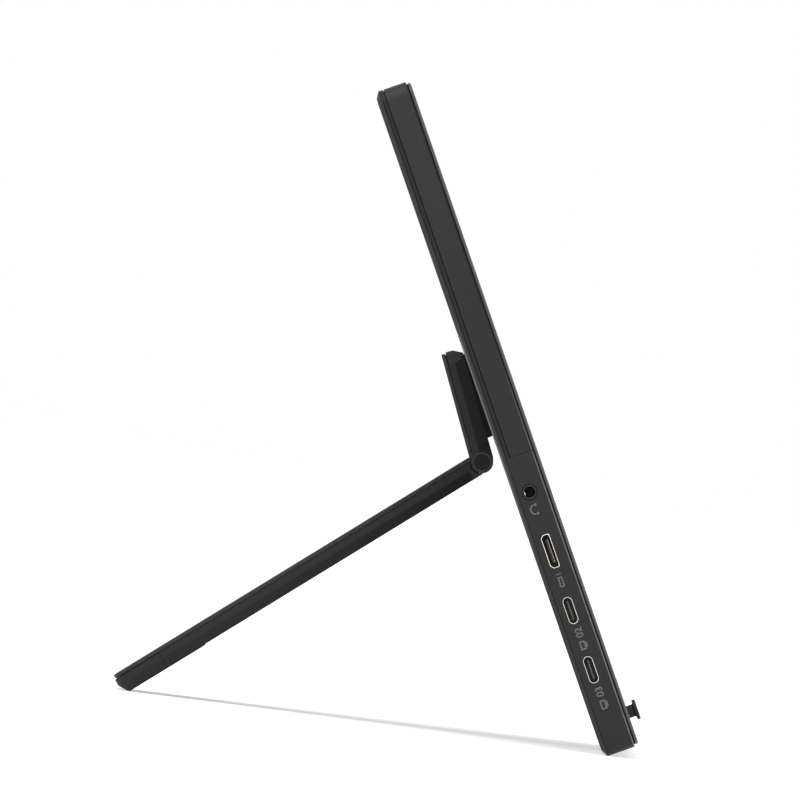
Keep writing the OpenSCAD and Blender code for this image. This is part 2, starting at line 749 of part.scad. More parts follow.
// The leg seen from above, drawn in by inset, between two distances from the hinge's axis
module leg_plan(inset, near, far) {
    r = stand_r - inset;
    w = stand_w / 2 - inset;
    translate([-w, -far + r]) square([2 * w, far - r - near]);
    translate([-w + r, -far]) square([2 * (w - r), far - near]);
    for (x = [-w + r, w - r]) translate([x, -far + r]) circle(r);
}

// Section of a stand piece, drawn as [X, Y], with its two lower edges bevelled
module bevelled_section(under, top) {
    w = stand_w / 2;
    polygon([[-w, -bevel_d], [-w + bevel_w, -under], [w - bevel_w, -under], [w, -bevel_d],
        [w, top], [-w, top]]);
}

// Side view of the base plate, drawn as [Y, Z]: it thins towards its top, and its foot is the barrel
module plate_profile() {
    circle(plate_half);
    polygon([[-plate_half * cos(plate_low_angle), -plate_half * sin(plate_low_angle)],
        [-plate_low_under, plate_low], [-plate_under, plate_len - plate_bevel_h],
        [-bevel_d, plate_len], [plate_top, plate_len], [plate_top, cover_from - seam],
        [plate_half, cover_from - seam], [plate_half, 0]]);
}

module stand_base_body() color("#2b2c2e") lean() at_plate() difference() {
    union() {
        intersection() {
            wide(-stand_w / 2, stand_w / 2) plate_profile();
            union() {
                translate([0, 0, bevel_from]) linear_extrude(plate_len)
                    bevelled_section(plate_low_under, plate_half);
                span([-stand_w / 2, -plate_low_under, -plate_half],
                     [stand_w / 2, plate_half, bevel_from]);
            }
            deep(-plate_low_under, plate_half) plate_plan(0, -plate_half);
        }
        deep(plate_top - 0.1, plate_half - cover_t) plate_plan(cover_set, cover_from - 2 * seam);
    }
    for (side = [-1, 1]) {
        round_x(plate_start_r, side * middle_half, side * outer_in);
        round_x(pin_r, side * (middle_half - pin_in), side * stand_w);
        round_x(end_cap_r + gap, side * (stand_w / 2 - cap_t), side * stand_w);
    }
}

module stand_base_cover() color("#3a3b3d") lean() at_plate()
    deep(plate_half - cover_t, plate_half) intersection() {
        plate_plan(0, cover_from);
        translate([-stand_w / 2, 0]) square([stand_w, plate_len - cover_short]);
    }

module hinge_pins() color("#b9bcbe") lean() at_plate() for (side = [-1, 1])
    round_x(pin_r, side * (middle_half - pin_in), side * (stand_w / 2 - cap_t));

module hinge_end_caps() color("#4a4b4d") lean() at_plate() for (side = [0, 180])
    rotate([0, side + 90, 0]) translate([0, 0, stand_w / 2 - cap_t]) rotate_extrude()
        polygon([[0, 0], [end_cap_r, 0], [end_cap_r, cap_t - 0.35], [end_cap_r - 0.35, cap_t], [0, cap_t]]);

// What the leg's near end keeps clear of, drawn in the leg's frame: the hinge barrel, and the base
// plate as it lies against the leg when the leg is at its stop
module leg_start_space() {
    round_x(leg_start_r, -stand_w, stand_w);
    rotate([plate_tilt - leg_angle - leg_stop - stop_slack, 0, 0])
        span([-stand_w, 0, 0], [stand_w, plate_half + stop_gap, plate_len]);
}

// Side view of the leg between two distances from the hinge's axis, drawn as [Y, Z]
module leg_profile(near, far)
    polygon([[-leg_half, -near], [leg_top, -near], [leg_top, -far], [-leg_half, -far]]);

module leg_sides()
    translate([0, 0, -leg_len]) linear_extrude(leg_len - bevel_from) bevelled_section(leg_half, leg_half);

module leg_body() color("#2b2c2e") lean() at_leg() difference() {
    union() {
        difference() {
            union() {
                intersection() {
                    wide(-stand_w / 2, stand_w / 2) leg_profile(0, foot_r);
                    union() {
                        leg_sides();
                        span([-stand_w / 2, -leg_half, -bevel_from], [stand_w / 2, leg_half, 0]);
                    }
                }
                deep(leg_top - 0.1, leg_half - cover_t) difference() {
                    leg_plan(cover_set, 0, leg_len);
                    translate([-stand_w, -leg_len - 1]) square([2 * stand_w, foot_len + 1]);
                }
            }
            leg_start_space();
        }
        for (side = [-1, 1]) {
            round_x(leg_half, side * (middle_half + knuckle_gap), side * (outer_in - knuckle_gap));
            wide(side * (middle_half + knuckle_gap), side * (outer_in - knuckle_gap))
                translate([-neck_half, -leg_start_r - 1])
                    square([neck_half + leg_half - cover_t, leg_start_r + 1]);
        }
    }
    for (side = [-1, 1]) round_x(sleeve_r + gap / 2, side * (middle_half - 1), side * (outer_in + 1));
}

module leg_cover() color("#3a3b3d") lean() at_leg() difference() {
    deep(leg_half - cover_t, leg_half) leg_plan(0, 0, leg_len - cover_short);
    leg_start_space();
}

module leg_foot() color("#1d1e1f") lean() at_leg() {
    intersection() {
        wide(-stand_w / 2, stand_w / 2)
            polygon([[-leg_half, -foot_r - seam], [leg_top, -foot_r - seam], [leg_top, -leg_len],
                [-bevel_d, -leg_len], [-leg_half, -foot_reach - foot_edge]]);
        leg_sides();
        deep(-leg_half, leg_half) leg_plan(0, 0, leg_len);
    }
    deep(leg_top - 0.1, leg_half - cover_t) difference() {
        leg_plan(cover_set, 0, leg_len - cover_set);
        translate([-stand_w, -foot_r - seam]) square([2 * stand_w, leg_len]);
    }
    span([-stand_w / 2 + 2, -leg_half + 1, -foot_r - 1], [stand_w / 2 - 2, leg_top - 1, -foot_r]);
    span([-stand_w / 2 + 4, -foot_under, -foot_reach], [stand_w / 2 - 4, -leg_half, -strip_r]);
}

module friction_sleeves() color("#8c9093") lean() at_leg() for (side = [-1, 1]) difference() {
    round_x(sleeve_r, side * (middle_half + 2 * knuckle_gap), side * (outer_in - 2 * knuckle_gap));
    round_x(pin_r + run_fit, side * (middle_half - 1), side * (outer_in + 1));
}

rear_cover();
mid_frame();
socket_side_piece();
front_bezel();
lcd_glass();
light_guide();
led_strip();
panel_tray();
panel_driver_board();
panel_ribbon();
main_board();
board_chips();
chip_shield();
board_screws();
usb_c_shell_1();
usb_c_shell_2();
usb_c_tongues();
hdmi_shell();
hdmi_tongue();
headphone_socket();
headphone_contacts();
joystick_board();
joystick_cable();
joystick_housing();
joystick_dome();
joystick_cradle();
joystick_rocker();
joystick_stem();
joystick_cap();
swivel_bushing();
swivel_stops();
swivel_hub();
swivel_washer();
swivel_retainer();
hub_screws();
stand_base_body();
stand_base_cover();
hinge_pins();
hinge_end_caps();
leg_body();
leg_cover();
leg_foot();
friction_sleeves();
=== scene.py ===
# %% [markdown]
# # A slim portable monitor on a folding stand
#
# The monitor is a flat case of dark moulded plastic, 12 mm thick, which leans back on its lower
# edge. An L-shaped stand carries it from behind: a base plate that turns on a round hub, and a
# long leg on a hinge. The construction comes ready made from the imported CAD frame. This lesson
# gives it the look of the finished product: rounded edges, fine moulded grain, printed marks and
# the small metal parts inside the sockets.

# %% Load the frame
import json
import math

import bpy
from mathutils import Matrix, Vector

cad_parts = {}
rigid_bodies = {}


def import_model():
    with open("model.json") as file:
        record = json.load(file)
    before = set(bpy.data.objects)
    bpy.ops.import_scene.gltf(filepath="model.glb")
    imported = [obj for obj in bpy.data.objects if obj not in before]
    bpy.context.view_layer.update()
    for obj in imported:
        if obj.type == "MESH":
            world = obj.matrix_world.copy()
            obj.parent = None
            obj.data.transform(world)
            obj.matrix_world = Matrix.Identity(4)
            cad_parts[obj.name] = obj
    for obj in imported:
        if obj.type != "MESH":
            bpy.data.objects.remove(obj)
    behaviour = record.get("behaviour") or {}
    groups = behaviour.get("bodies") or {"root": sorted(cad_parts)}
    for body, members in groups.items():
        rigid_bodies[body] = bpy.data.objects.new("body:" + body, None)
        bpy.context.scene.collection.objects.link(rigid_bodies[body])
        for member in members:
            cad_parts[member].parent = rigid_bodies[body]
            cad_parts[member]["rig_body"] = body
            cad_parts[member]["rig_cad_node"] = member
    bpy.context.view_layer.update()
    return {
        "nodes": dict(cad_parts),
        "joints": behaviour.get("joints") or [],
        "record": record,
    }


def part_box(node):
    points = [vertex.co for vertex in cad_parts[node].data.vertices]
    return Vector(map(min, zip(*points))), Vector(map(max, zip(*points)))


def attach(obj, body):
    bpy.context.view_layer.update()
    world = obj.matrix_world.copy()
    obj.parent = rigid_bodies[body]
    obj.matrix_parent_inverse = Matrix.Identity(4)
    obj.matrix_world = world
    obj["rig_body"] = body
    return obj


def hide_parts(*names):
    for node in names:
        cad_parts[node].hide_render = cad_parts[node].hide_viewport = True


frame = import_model()
MM = 0.001

# %% [markdown]
# The case leans back, so most of its pieces are easier to place in the case's own directions than
# in the world's. Three of the record's values give them: the swivel's axis is square to the back
# face, and the sockets' mounts sit in a row along the side. `on_case` turns a place on the upright
# case (x to the right, y behind the back face, z above the lower edge) into a place in the world.

# %% Directions and places on the case
joints = {joint["name"]: joint for joint in frame["joints"]}
mounts = {mount["name"]: mount for mount in frame["record"]["mounts"]}
BACKWARDS = Vector(joints["stand_swivel"]["axis"]).normalized()
UPWARDS = Vector((0, -BACKWARDS.z, BACKWARDS.y))
INWARDS = Vector((1, 0, 0))
SWIVEL_HEIGHT = 121.5 * MM
SWIVEL_POINT = Vector(joints["stand_swivel"]["pos_m"])
SIDE_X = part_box("socket_side_piece")[0].x


def on_case(x, y, z):
    """A place on the upright case, in metres, as a place in the world."""
    return Vector((x, 0, 0)) + SWIVEL_POINT + BACKWARDS * y + UPWARDS * (z - SWIVEL_HEIGHT)


def case_place(point):
    """The case's own (x, y, z) of a place in the world."""
    offset = Vector(point) - SWIVEL_POINT
    return Vector((offset.x, offset.dot(BACKWARDS), offset.dot(UPWARDS) + SWIVEL_HEIGHT))


def turned_to(first, second, third):
    """The turn, as a 4 by 4 matrix, that takes the x, y and z axes to three directions."""
    return Matrix((first, second, third)).transposed().to_4x4()


HDMI, USB_UPPER, USB_LOWER, JACK = (
    case_place(mounts[name]["pos_m"])
    for name in ("mini_hdmi_socket", "usb_c_socket_2", "usb_c_socket_1", "headphone_socket")
)
print("sockets' heights in mm:", [round(s.z / MM, 2) for s in (JACK, HDMI, USB_UPPER, USB_LOWER)])

# %% [markdown]
# The camera comes first, because everything after it is judged through it. The monitor is seen
# from the side that holds its sockets, from so far away that the view is almost without
# perspective. A long lens at a long distance does that, where an orthographic camera would hide
# the last sliver of the back. The picture is rolled by a few degrees.

# %% Camera
CAMERA_DISTANCE = 12.0
PICTURE_PIXELS = 800
PIXELS_PER_METRE = 3141
SENSOR_WIDTH = 36.0
CAMERA_ROLL = math.radians(7.25)
CAMERA_AIM = on_case(SIDE_X, 24.23 * MM, 128.82 * MM)
CAMERA_PLACE = on_case(SIDE_X - CAMERA_DISTANCE, 4 * MM, 128.82 * MM)

camera_data = bpy.data.cameras.new("side camera")
camera_data.sensor_width = SENSOR_WIDTH
camera_data.lens = PIXELS_PER_METRE * CAMERA_DISTANCE * SENSOR_WIDTH / PICTURE_PIXELS
camera_data.clip_start = 0.1
camera_data.clip_end = 200
camera = bpy.data.objects.new("side camera", camera_data)
bpy.context.scene.collection.objects.link(camera)
towards_camera = (CAMERA_PLACE - CAMERA_AIM).normalized()
rolled_up = Vector((0, math.sin(CAMERA_ROLL), math.cos(CAMERA_ROLL)))
picture_right = rolled_up.cross(towards_camera).normalized()
picture_up = towards_camera.cross(picture_right)
picture_turn = turned_to(picture_right, picture_up, towards_camera)
camera.matrix_world = Matrix.Translation(CAMERA_PLACE) @ picture_turn
bpy.context.scene.camera = camera
print("lens:", round(camera_data.lens), "mm at", CAMERA_DISTANCE, "m")

# %% [markdown]
# ## Finishes
#
# Nearly every surface here is dark plastic, so what tells the pieces apart is their grain, their
# gloss and small differences of grey. Effects that several finishes share are shader node groups:
# each takes a place on the piece and puts out masks and heights, and every material sets its own
# values. Reading Object coordinates keeps a pattern fixed to its piece when the monitor moves.

# %% Shared effect: moulded grain


def new_group(name, inputs, outputs):
    """A shader node group with named float inputs and outputs, and its two end nodes."""
    group = bpy.data.node_groups.new(name, "ShaderNodeTree")
    group.interface.new_socket("Vector", in_out="INPUT", socket_type="NodeSocketVector")
    for title, value in inputs.items():
        socket = group.interface.new_socket(title, in_out="INPUT", socket_type="NodeSocketFloat")
        socket.default_value = value
    for title in outputs:
        group.interface.new_socket(title, in_out="OUTPUT", socket_type="NodeSocketFloat")
    return group, group.nodes.new("NodeGroupInput"), group.nodes.new("NodeGroupOutput")


def math_node(tree, operation, first, second, third=None, clamp=False):
    """A Math node whose inputs are sockets or plain numbers. Returns its output."""
    node = tree.nodes.new("ShaderNodeMath")
    node.operation = operation
    node.use_clamp = clamp
    for socket, value in zip(node.inputs, (first, second, third)):
        if isinstance(value, bpy.types.NodeSocket):
            tree.links.new(value, socket)
        elif value is not None:
            socket.default_value = value
    return node.outputs[0]


def noise_node(tree, vector, scale, detail=2.0, roughness=0.5):
    """A Noise texture whose scale is a number or a socket. Returns its factor."""
    node = tree.nodes.new("ShaderNodeTexNoise")
    node.inputs["Detail"].default_value = detail
    node.inputs["Roughness"].default_value = roughness
    tree.links.new(vector, node.inputs["Vector"])
    if isinstance(scale, bpy.types.NodeSocket):
        tree.links.new(scale, node.inputs["Scale"])
    else:
        node.inputs["Scale"].default_value = scale
    return node.outputs[0]


FINE_GRAIN_RATIO = 1.7
grain, grain_in, grain_out = new_group("moulded grain", {"Grain size": 0.0004}, ["Height", "Tone"])
frequency = math_node(grain, "DIVIDE", 1.0, grain_in.outputs["Grain size"])
fine_frequency = math_node(grain, "MULTIPLY", frequency, FINE_GRAIN_RATIO)
pebbles = grain.nodes.new("ShaderNodeTexVoronoi")
pebbles.feature = "SMOOTH_F1"
grain.links.new(grain_in.outputs["Vector"], pebbles.inputs["Vector"])
grain.links.new(frequency, pebbles.inputs["Scale"])
fine = noise_node(grain, grain_in.outputs["Vector"], fine_frequency, detail=3.0)
grain_height = math_node(grain, "MULTIPLY_ADD", pebbles.outputs["Distance"], -0.7, fine)
grain.links.new(grain_height, grain_out.inputs["Height"])
grain.links.new(math_node(grain, "MULTIPLY_ADD", fine, 0.6, 0.2), grain_out.inputs["Tone"])
print("group:", grain.name)

# %% [markdown]
# Hands leave soft patches of another gloss on plastic and metal: cloudy noise, pushed to full
# contrast, makes their mask. Lint is a few tiny dots: a Voronoi texture divides the surface into
# cells, and only some of them get a dot. Brushing is noise drawn out along x. Painted masks would
# do as well, but they would have to be made again for every piece.

# %% Shared effects: handling marks, lint and brushing
handling, handling_in, handling_out = new_group("handling marks", {"Patch size": 0.03}, ["Mask"])
patches = noise_node(
    handling,
    handling_in.outputs["Vector"],
    math_node(handling, "DIVIDE", 1.0, handling_in.outputs["Patch size"]),
    detail=4.0,
    roughness=0.62,
)
handling.links.new(
    math_node(handling, "MULTIPLY_ADD", patches, 2.2, -0.6, clamp=True), handling_out.inputs["Mask"]
)

CELLS_WITHOUT_LINT = 0.62
lint, lint_in, lint_out = new_group("lint", {"Spacing": 0.004, "Speck size": 0.05}, ["Mask"])
cells = lint.nodes.new("ShaderNodeTexVoronoi")
lint.links.new(lint_in.outputs["Vector"], cells.inputs["Vector"])
lint.links.new(math_node(lint, "DIVIDE", 1.0, lint_in.outputs["Spacing"]), cells.inputs["Scale"])
near = math_node(lint, "LESS_THAN", cells.outputs["Distance"], lint_in.outputs["Speck size"])
chosen = lint.nodes.new("ShaderNodeSeparateColor")
lint.links.new(cells.outputs["Color"], chosen.inputs["Color"])
rare = math_node(lint, "GREATER_THAN", chosen.outputs[0], CELLS_WITHOUT_LINT)
lint.links.new(math_node(lint, "MULTIPLY", near, rare), lint_out.inputs["Mask"])

BRUSHED_ALONG_X = (0.04, 1.0, 1.0)
brushing, brushing_in, brushing_out = new_group(
    "brushing", {"Line width": 0.0001}, ["Height", "Tone"]
)
stretch = brushing.nodes.new("ShaderNodeMapping")
stretch.inputs["Scale"].default_value = BRUSHED_ALONG_X
brushing.links.new(brushing_in.outputs["Vector"], stretch.inputs["Vector"])
lines = noise_node(
    brushing,
    stretch.outputs["Vector"],
    math_node(brushing, "DIVIDE", 1.0, brushing_in.outputs["Line width"]),
)
brushing.links.new(lines, brushing_out.inputs["Height"])
brushing.links.new(lines, brushing_out.inputs["Tone"])
print("groups:", handling.name, lint.name, brushing.name)

# %% [markdown]
# A finish starts from the Principled shader with its constant values set on its own sockets. What
# changes over the surface comes from the groups: the grain drives a small bump, handling marks
# move the gloss, and the two tones mix two greys. One function builds every plastic, because real
# mouldings differ in the same few ways.

# %% Plastics


def start_material(name, metallic=0.0, specular=0.5, **constants):
    """A new Principled material. Returns (material, shader, Object coordinates)."""
    material = bpy.data.materials.new(name)
    material.use_nodes = True
    shader = material.node_tree.nodes["Principled BSDF"]
    shader.inputs["Metallic"].default_value = metallic
    shader.inputs["Specular IOR Level"].default_value = specular
    for title, value in constants.items():
        shader.inputs[title.replace("_", " ")].default_value = value
    place = material.node_tree.nodes.new("ShaderNodeTexCoord").outputs["Object"]
    return material, shader, place


def use_group(material, group, place, **values):
    """Place a node group in a material, with its own values."""
    node = material.node_tree.nodes.new("ShaderNodeGroup")
    node.node_tree = group
    material.node_tree.links.new(place, node.inputs["Vector"])
    for title, value in values.items():
        node.inputs[title.replace("_", " ")].default_value = value
    return node.outputs


def mix_colours(material, factor, first, second):
    """A Mix node between two colours, each a socket or an (r, g, b) triple."""
    node = material.node_tree.nodes.new("ShaderNodeMix")
    node.data_type = "RGBA"
    material.node_tree.links.new(factor, node.inputs[0])
    for socket, value in ((node.inputs[6], first), (node.inputs[7], second)):
        if isinstance(value, bpy.types.NodeSocket):
            material.node_tree.links.new(value, socket)
        else:
            socket.default_value = (*value, 1.0)
    return node.outputs[2]


def case_directions(material, place):
    """The case's own x, y and z of the shaded place, in metres, as three sockets."""
    tree = material.node_tree
    turn = tree.nodes.new("ShaderNodeMapping")
    turn.vector_type = "TEXTURE"
    turn.inputs["Location"].default_value = on_case(0, 0, 0)
    turn.inputs["Rotation"].default_value = (math.atan2(BACKWARDS.z, BACKWARDS.y), 0, 0)
    tree.links.new(place, turn.inputs["Vector"])
    split = tree.nodes.new("ShaderNodeSeparateXYZ")
    tree.links.new(turn.outputs["Vector"], split.inputs["Vector"])
    return split.outputs


def ramp(tree, value, start, end):
    """A value's way from start to end as a mask that grows from 0 to 1."""
    steepness = 1 / (end - start)
    return math_node(tree, "MULTIPLY_ADD", value, steepness, -start * steepness, clamp=True)


def add_bump(material, shader, height, distance):
    """Let a height drive the shader's normal."""
    node = material.node_tree.nodes.new("ShaderNodeBump")
    node.inputs["Distance"].default_value = distance
    node.inputs["Strength"].default_value = 1.0
    material.node_tree.links.new(height, node.inputs["Height"])
    material.node_tree.links.new(node.outputs["Normal"], shader.inputs["Normal"])


def finish_with(material, shader, colour, mask, gloss, height, depth):
    """Feed a colour, a roughness that a mask moves through a range, and a bump to a shader."""
    tree = material.node_tree
    tree.links.new(colour, shader.inputs["Base Color"])
    rough = math_node(tree, "MULTIPLY_ADD", mask, gloss[1] - gloss[0], gloss[0])
    tree.links.new(rough, shader.inputs["Roughness"])
    add_bump(material, shader, height, depth)


def grey(level, warmth=0.0):
    """A nearly neutral grey of a linear level; warmth tips it from blue to red."""
    return (level * (1 + warmth), level, level * (1 - warmth))


LINT_GREY = grey(0.16)


def plastic(name, dark, light, gloss, size, depth, specular=0.5, warmth=0.0, specks=0.0):
    """Moulded plastic: two greys, a range of roughness, and the grain's size and depth in metres.

    Warmth tips the greys, and specks is how strongly the lint shows.
    """
    material, shader, place = start_material(name, specular=specular)
    moulded = use_group(material, grain, place, Grain_size=size)
    handled = use_group(material, handling, place)
    colour = mix_colours(material, moulded["Tone"], grey(dark, warmth), grey(light, warmth))
    if specks:
        dots = use_group(material, lint, place)
        dust = math_node(material.node_tree, "MULTIPLY", dots["Mask"], specks)
        colour = mix_colours(material, dust, colour, LINT_GREY)
    finish_with(material, shader, colour, handled["Mask"], gloss, moulded["Height"], depth)
    return material


case_plastic = plastic("case plastic", 0.006, 0.01, (0.44, 0.54), 0.0005, 0.00001, 0.2, 0.01, 0.12)
side_plastic = plastic(
    "side plastic", 0.014, 0.019, (0.44, 0.54), 0.0004, 0.000006, 0.25, 0.01, 0.2
)
bezel_plastic = plastic("bezel plastic", 0.03, 0.042, (0.3, 0.4), 0.0004, 0.000006, 0.5, 0.01, 0.2)
stand_plastic = plastic(
    "stand plastic", 0.0092, 0.0126, (0.42, 0.55), 0.0006, 0.00001, 0.28, 0.01, 0.3
)
cover_plastic = plastic(
    "stand cover plastic", 0.018, 0.028, (0.5, 0.62), 0.0007, 0.00005, 0.35, 0.01, 0.4
)
cap_plastic = plastic("end cap plastic", 0.005, 0.008, (0.4, 0.5), 0.0004, 0.000006, 0.22)
joystick_plastic = plastic("joystick plastic", 0.034, 0.044, (0.55, 0.65), 0.0004, 0.000005, 0.15)
seam_shade_plastic = plastic("seam plastic", 0.008, 0.012, (0.6, 0.7), 0.0004, 0.000004, 0.12)
inner_plastic = plastic("inner plastic", 0.02, 0.035, (0.5, 0.6), 0.0006, 0.00001)
socket_plastic = plastic("socket plastic", 0.004, 0.007, (0.4, 0.5), 0.0004, 0.000004, 0.3)
tongue_plastic = plastic("tongue plastic", 0.050, 0.065, (0.4, 0.5), 0.0004, 0.000004, 0.45)
dark_tongue_plastic = plastic(
    "dark tongue plastic", 0.012, 0.018, (0.4, 0.5), 0.0004, 0.000004, 0.3, 0.3
)
chip_plastic = plastic("chip plastic", 0.01, 0.016, (0.5, 0.6), 0.0004, 0.000006)
# Painted light: the hub's light grey lifts the deep shade in the gap behind the base plate.
hub_painted_light_plastic = plastic("hub plastic", 0.34, 0.42, (0.5, 0.6), 0.0005, 0.00001, 0.4)
flank_painted_light_plastic = plastic(
    "plate flank plastic", 0.029, 0.038, (0.5, 0.6), 0.0006, 0.00001, 0.4, 0.01
)
plate_plastic = plastic(
    "plate plastic", 0.0258, 0.0308, (0.42, 0.55), 0.0006, 0.00001, 0.21, 0.01, 0.3
)
plate_cover_plastic = plastic(
    "plate cover plastic", 0.030, 0.044, (0.5, 0.62), 0.0007, 0.00005, 0.4, 0.01, 0.4
)
groove_painted_light_plastic = plastic("groove plastic", 0.10, 0.12, (0.6, 0.7), 0.0004, 0.00001, 0.3)
pad_plastic = plastic("pad plastic", 0.004, 0.007, (0.7, 0.8), 0.0004, 0.00001, 0.2)
# Painted highlight: the rings' lighter grey stands for the light line on the end caps' rims.
ring_highlight_plastic = plastic("ring plastic", 0.022, 0.03, (0.3, 0.4), 0.0004, 0.000004, 0.45)
collar_plastic = plastic("collar plastic", 0.016, 0.022, (0.24, 0.34), 0.0004, 0.000003, 0.4)
print("plastics:", len([m for m in bpy.data.materials if "plastic" in m.name]))

# %% [markdown]
# Along the frame's front edge a band of colour is painted. Its lower half is a lighter satin line,
# a painted highlight where the rounded edge catches the light, and its upper half is darker,
# painted shade. Masks in the case's own directions find the edge and its lower half, and broken
# noise keeps the line from being even. A dark line of painted shade lies in the groove just before
# the edge. The lower part of the whole side, where the sockets are, is a shade darker and warmer:
# painted shade that grows towards the bottom.

# %% Painted highlight and shade on the frame's front edge and side


def made_plastic(material):
    """What a local change to a plastic needs: its tree, shader, case directions and colour."""
    tree = material.node_tree
    shader = tree.nodes["Principled BSDF"]
    place = tree.nodes["Texture Coordinate"].outputs["Object"]
    colour = shader.inputs["Base Color"].links[0].from_socket
    return tree, shader, case_directions(material, place), colour


EDGE_FROM = -9.98 * MM
EDGE_TO = -10.18 * MM
SEAM_FROM = -10.4 * MM
SEAM_TO = -10.46 * MM
EDGE_HIGHLIGHT_FROM = 132 * MM
EDGE_HIGHLIGHT_TO = 84 * MM
LOWER_SHADE_FROM = 188 * MM
LOWER_SHADE_TO = 148 * MM
LOWER_SHADE_SHARE = 0.4
LOWER_SHADE_TINT = (0.008, 0.004, 0.006)
SHADED_EDGE = grey(0.007)
HIGHLIGHT_EDGE = grey(0.135, 0.02)
SEAM_SHADE = grey(0.006)
side_tree, side_shader, side_case, plain_colour = made_plastic(side_plastic)
side_place = side_tree.nodes["Texture Coordinate"].outputs["Object"]
edge_mask = ramp(side_tree, side_case["Y"], EDGE_FROM, EDGE_TO)
highlight = ramp(side_tree, side_case["Z"], EDGE_HIGHLIGHT_FROM, EDGE_HIGHLIGHT_TO)
broken = use_group(side_plastic, handling, side_place, Patch_size=0.004)
highlight = math_node(side_tree, "MULTIPLY", highlight, ramp(side_tree, broken["Mask"], -0.6, 0.5))
# Painted highlight on the edge's lower half, and painted shade on its upper half.
edge_colour = mix_colours(side_plastic, highlight, SHADED_EDGE, HIGHLIGHT_EDGE)
# Painted shade: a dark line in the groove before the edge.
seam_mask = ramp(side_tree, side_case["Y"], SEAM_FROM, SEAM_TO)
edge_colour = mix_colours(side_plastic, seam_mask, edge_colour, SEAM_SHADE)
# Painted shade: the side grows darker and warmer towards the bottom.
darker = ramp(side_tree, side_case["Z"], LOWER_SHADE_FROM, LOWER_SHADE_TO)
darker = math_node(side_tree, "MULTIPLY", darker, LOWER_SHADE_SHARE)
plain_colour = mix_colours(side_plastic, darker, plain_colour, LOWER_SHADE_TINT)
side_colour = mix_colours(side_plastic, edge_mask, plain_colour, edge_colour)
side_tree.links.new(side_colour, side_shader.inputs["Base Color"])
print("worn edge from", EDGE_HIGHLIGHT_FROM, "to", EDGE_HIGHLIGHT_TO)

# %% [markdown]
# The rear cover's rim is treated the same way. A dark line of painted shade lies at the foot of the
# chamfer, and between it and the groove the rim is a shade lighter. The back edge beside the stand
# has a thin light line painted on it, a painted highlight where the edge catches the light.

# %% Painted shade and highlight on the rear cover's rim
RIM_SHADE_LINE = (-1.25 * MM, -1.5 * MM, -1.75 * MM, -2.0 * MM)
RIM_LIGHTER_BAND = (-1.9 * MM, -2.15 * MM, -2.6 * MM, -2.75 * MM)
RIM_TONES = ((RIM_SHADE_LINE, grey(0.002)), (RIM_LIGHTER_BAND, grey(0.012, 0.01)))
rim_tree, rim_shader, rim_case, rim_colour = made_plastic(case_plastic)
# Painted shade: a dark line at the chamfer's foot, with a lighter band beside it.
for band, tone in RIM_TONES:
    begins = ramp(rim_tree, rim_case["Y"], band[0], band[1])
    ends = ramp(rim_tree, rim_case["Y"], band[2], band[3])
    inside_band = math_node(rim_tree, "SUBTRACT", begins, ends)
    rim_colour = mix_colours(case_plastic, inside_band, rim_colour, tone)
# Painted highlight: a thin light line on the back edge beside the stand.
BACK_EDGE_LIMITS = (
    (math_node(rim_tree, "ABSOLUTE", rim_case["X"], None), 175.9 * MM, 176.2 * MM),
    (rim_case["Y"], -0.5 * MM, -0.3 * MM),
    (rim_case["Z"], 144 * MM, 138 * MM),
    (rim_case["Z"], 60 * MM, 110 * MM),
)
BACK_EDGE_HIGHLIGHT = grey(0.13, 0.01)
back_edge_highlight = 1.0
for value, start, end in BACK_EDGE_LIMITS:
    back_edge_highlight = math_node(rim_tree, "MULTIPLY", back_edge_highlight, ramp(rim_tree, value, start, end))
rim_colour = mix_colours(case_plastic, back_edge_highlight, rim_colour, BACK_EDGE_HIGHLIGHT)
rim_tree.links.new(rim_colour, rim_shader.inputs["Base Color"])
print("rim bands:", RIM_SHADE_LINE, RIM_LIGHTER_BAND)

# %% [markdown]
# On the flat ends of the base plate's barrel, shade is painted: forward of a line through the
# hinge's axis, which leans with the plate, they are darker. Only the colour follows the mask,
# because an exported model keeps one specular level for a whole material.

# %% Painted shade on the forward half of the barrel's ends
PLATE_LEAN = math.tan(math.radians(3.8))
BARREL_END = 47.7 * MM
BORDER_SOFTNESS = 0.1 * MM
BARREL_END_SHADE = grey(0.004)
plate_tree, plate_shader, plate_case, plate_colour = made_plastic(plate_plastic)
hinge_place = case_place(joints["leg_hinge"]["pos_m"])
end_line = hinge_place.y + PLATE_LEAN * hinge_place.z
leaned = math_node(plate_tree, "MULTIPLY_ADD", plate_case["Z"], PLATE_LEAN, plate_case["Y"])
forward_half = ramp(plate_tree, leaned, end_line + BORDER_SOFTNESS, end_line - BORDER_SOFTNESS)
sideways = math_node(plate_tree, "ABSOLUTE", plate_case["X"], None)
at_end = ramp(plate_tree, sideways, BARREL_END - BORDER_SOFTNESS, BARREL_END)
shaded_half = math_node(plate_tree, "MULTIPLY", forward_half, at_end)
# Painted shade on the forward half of the barrel's ends.
plate_colour = mix_colours(plate_plastic, shaded_half, plate_colour, BARREL_END_SHADE)
plate_tree.links.new(plate_colour, plate_shader.inputs["Base Color"])
print("barrel's ends darker forward of", end_line)

# %% [markdown]
# Rubber is a plastic with hardly any gloss and a coarser, deeper grain. Metals take their colour
# from the reflection, so they need a world to reflect, and a trace of brushing breaks it up.

# %% Rubber, print and metals
foot_rubber = plastic("foot rubber", 0.014, 0.022, (0.62, 0.75), 0.0007, 0.00003, 0.3)
print_ink = plastic("print ink", 0.085, 0.12, (0.5, 0.6), 0.0003, 0.000003, 0.4)


HANDLED_METAL_PATCH = 0.006


def metal(name, dark, light, gloss, width, depth):
    """Bare or plated metal: two colours, a range of roughness, and fine brushed lines."""
    material, shader, place = start_material(name, metallic=1.0)
    brushed = use_group(material, brushing, place, Line_width=width)
    handled = use_group(material, handling, place, Patch_size=HANDLED_METAL_PATCH)
    colour = mix_colours(material, brushed["Tone"], dark, light)
    finish_with(material, shader, colour, handled["Mask"], gloss, brushed["Height"], depth)
    return material


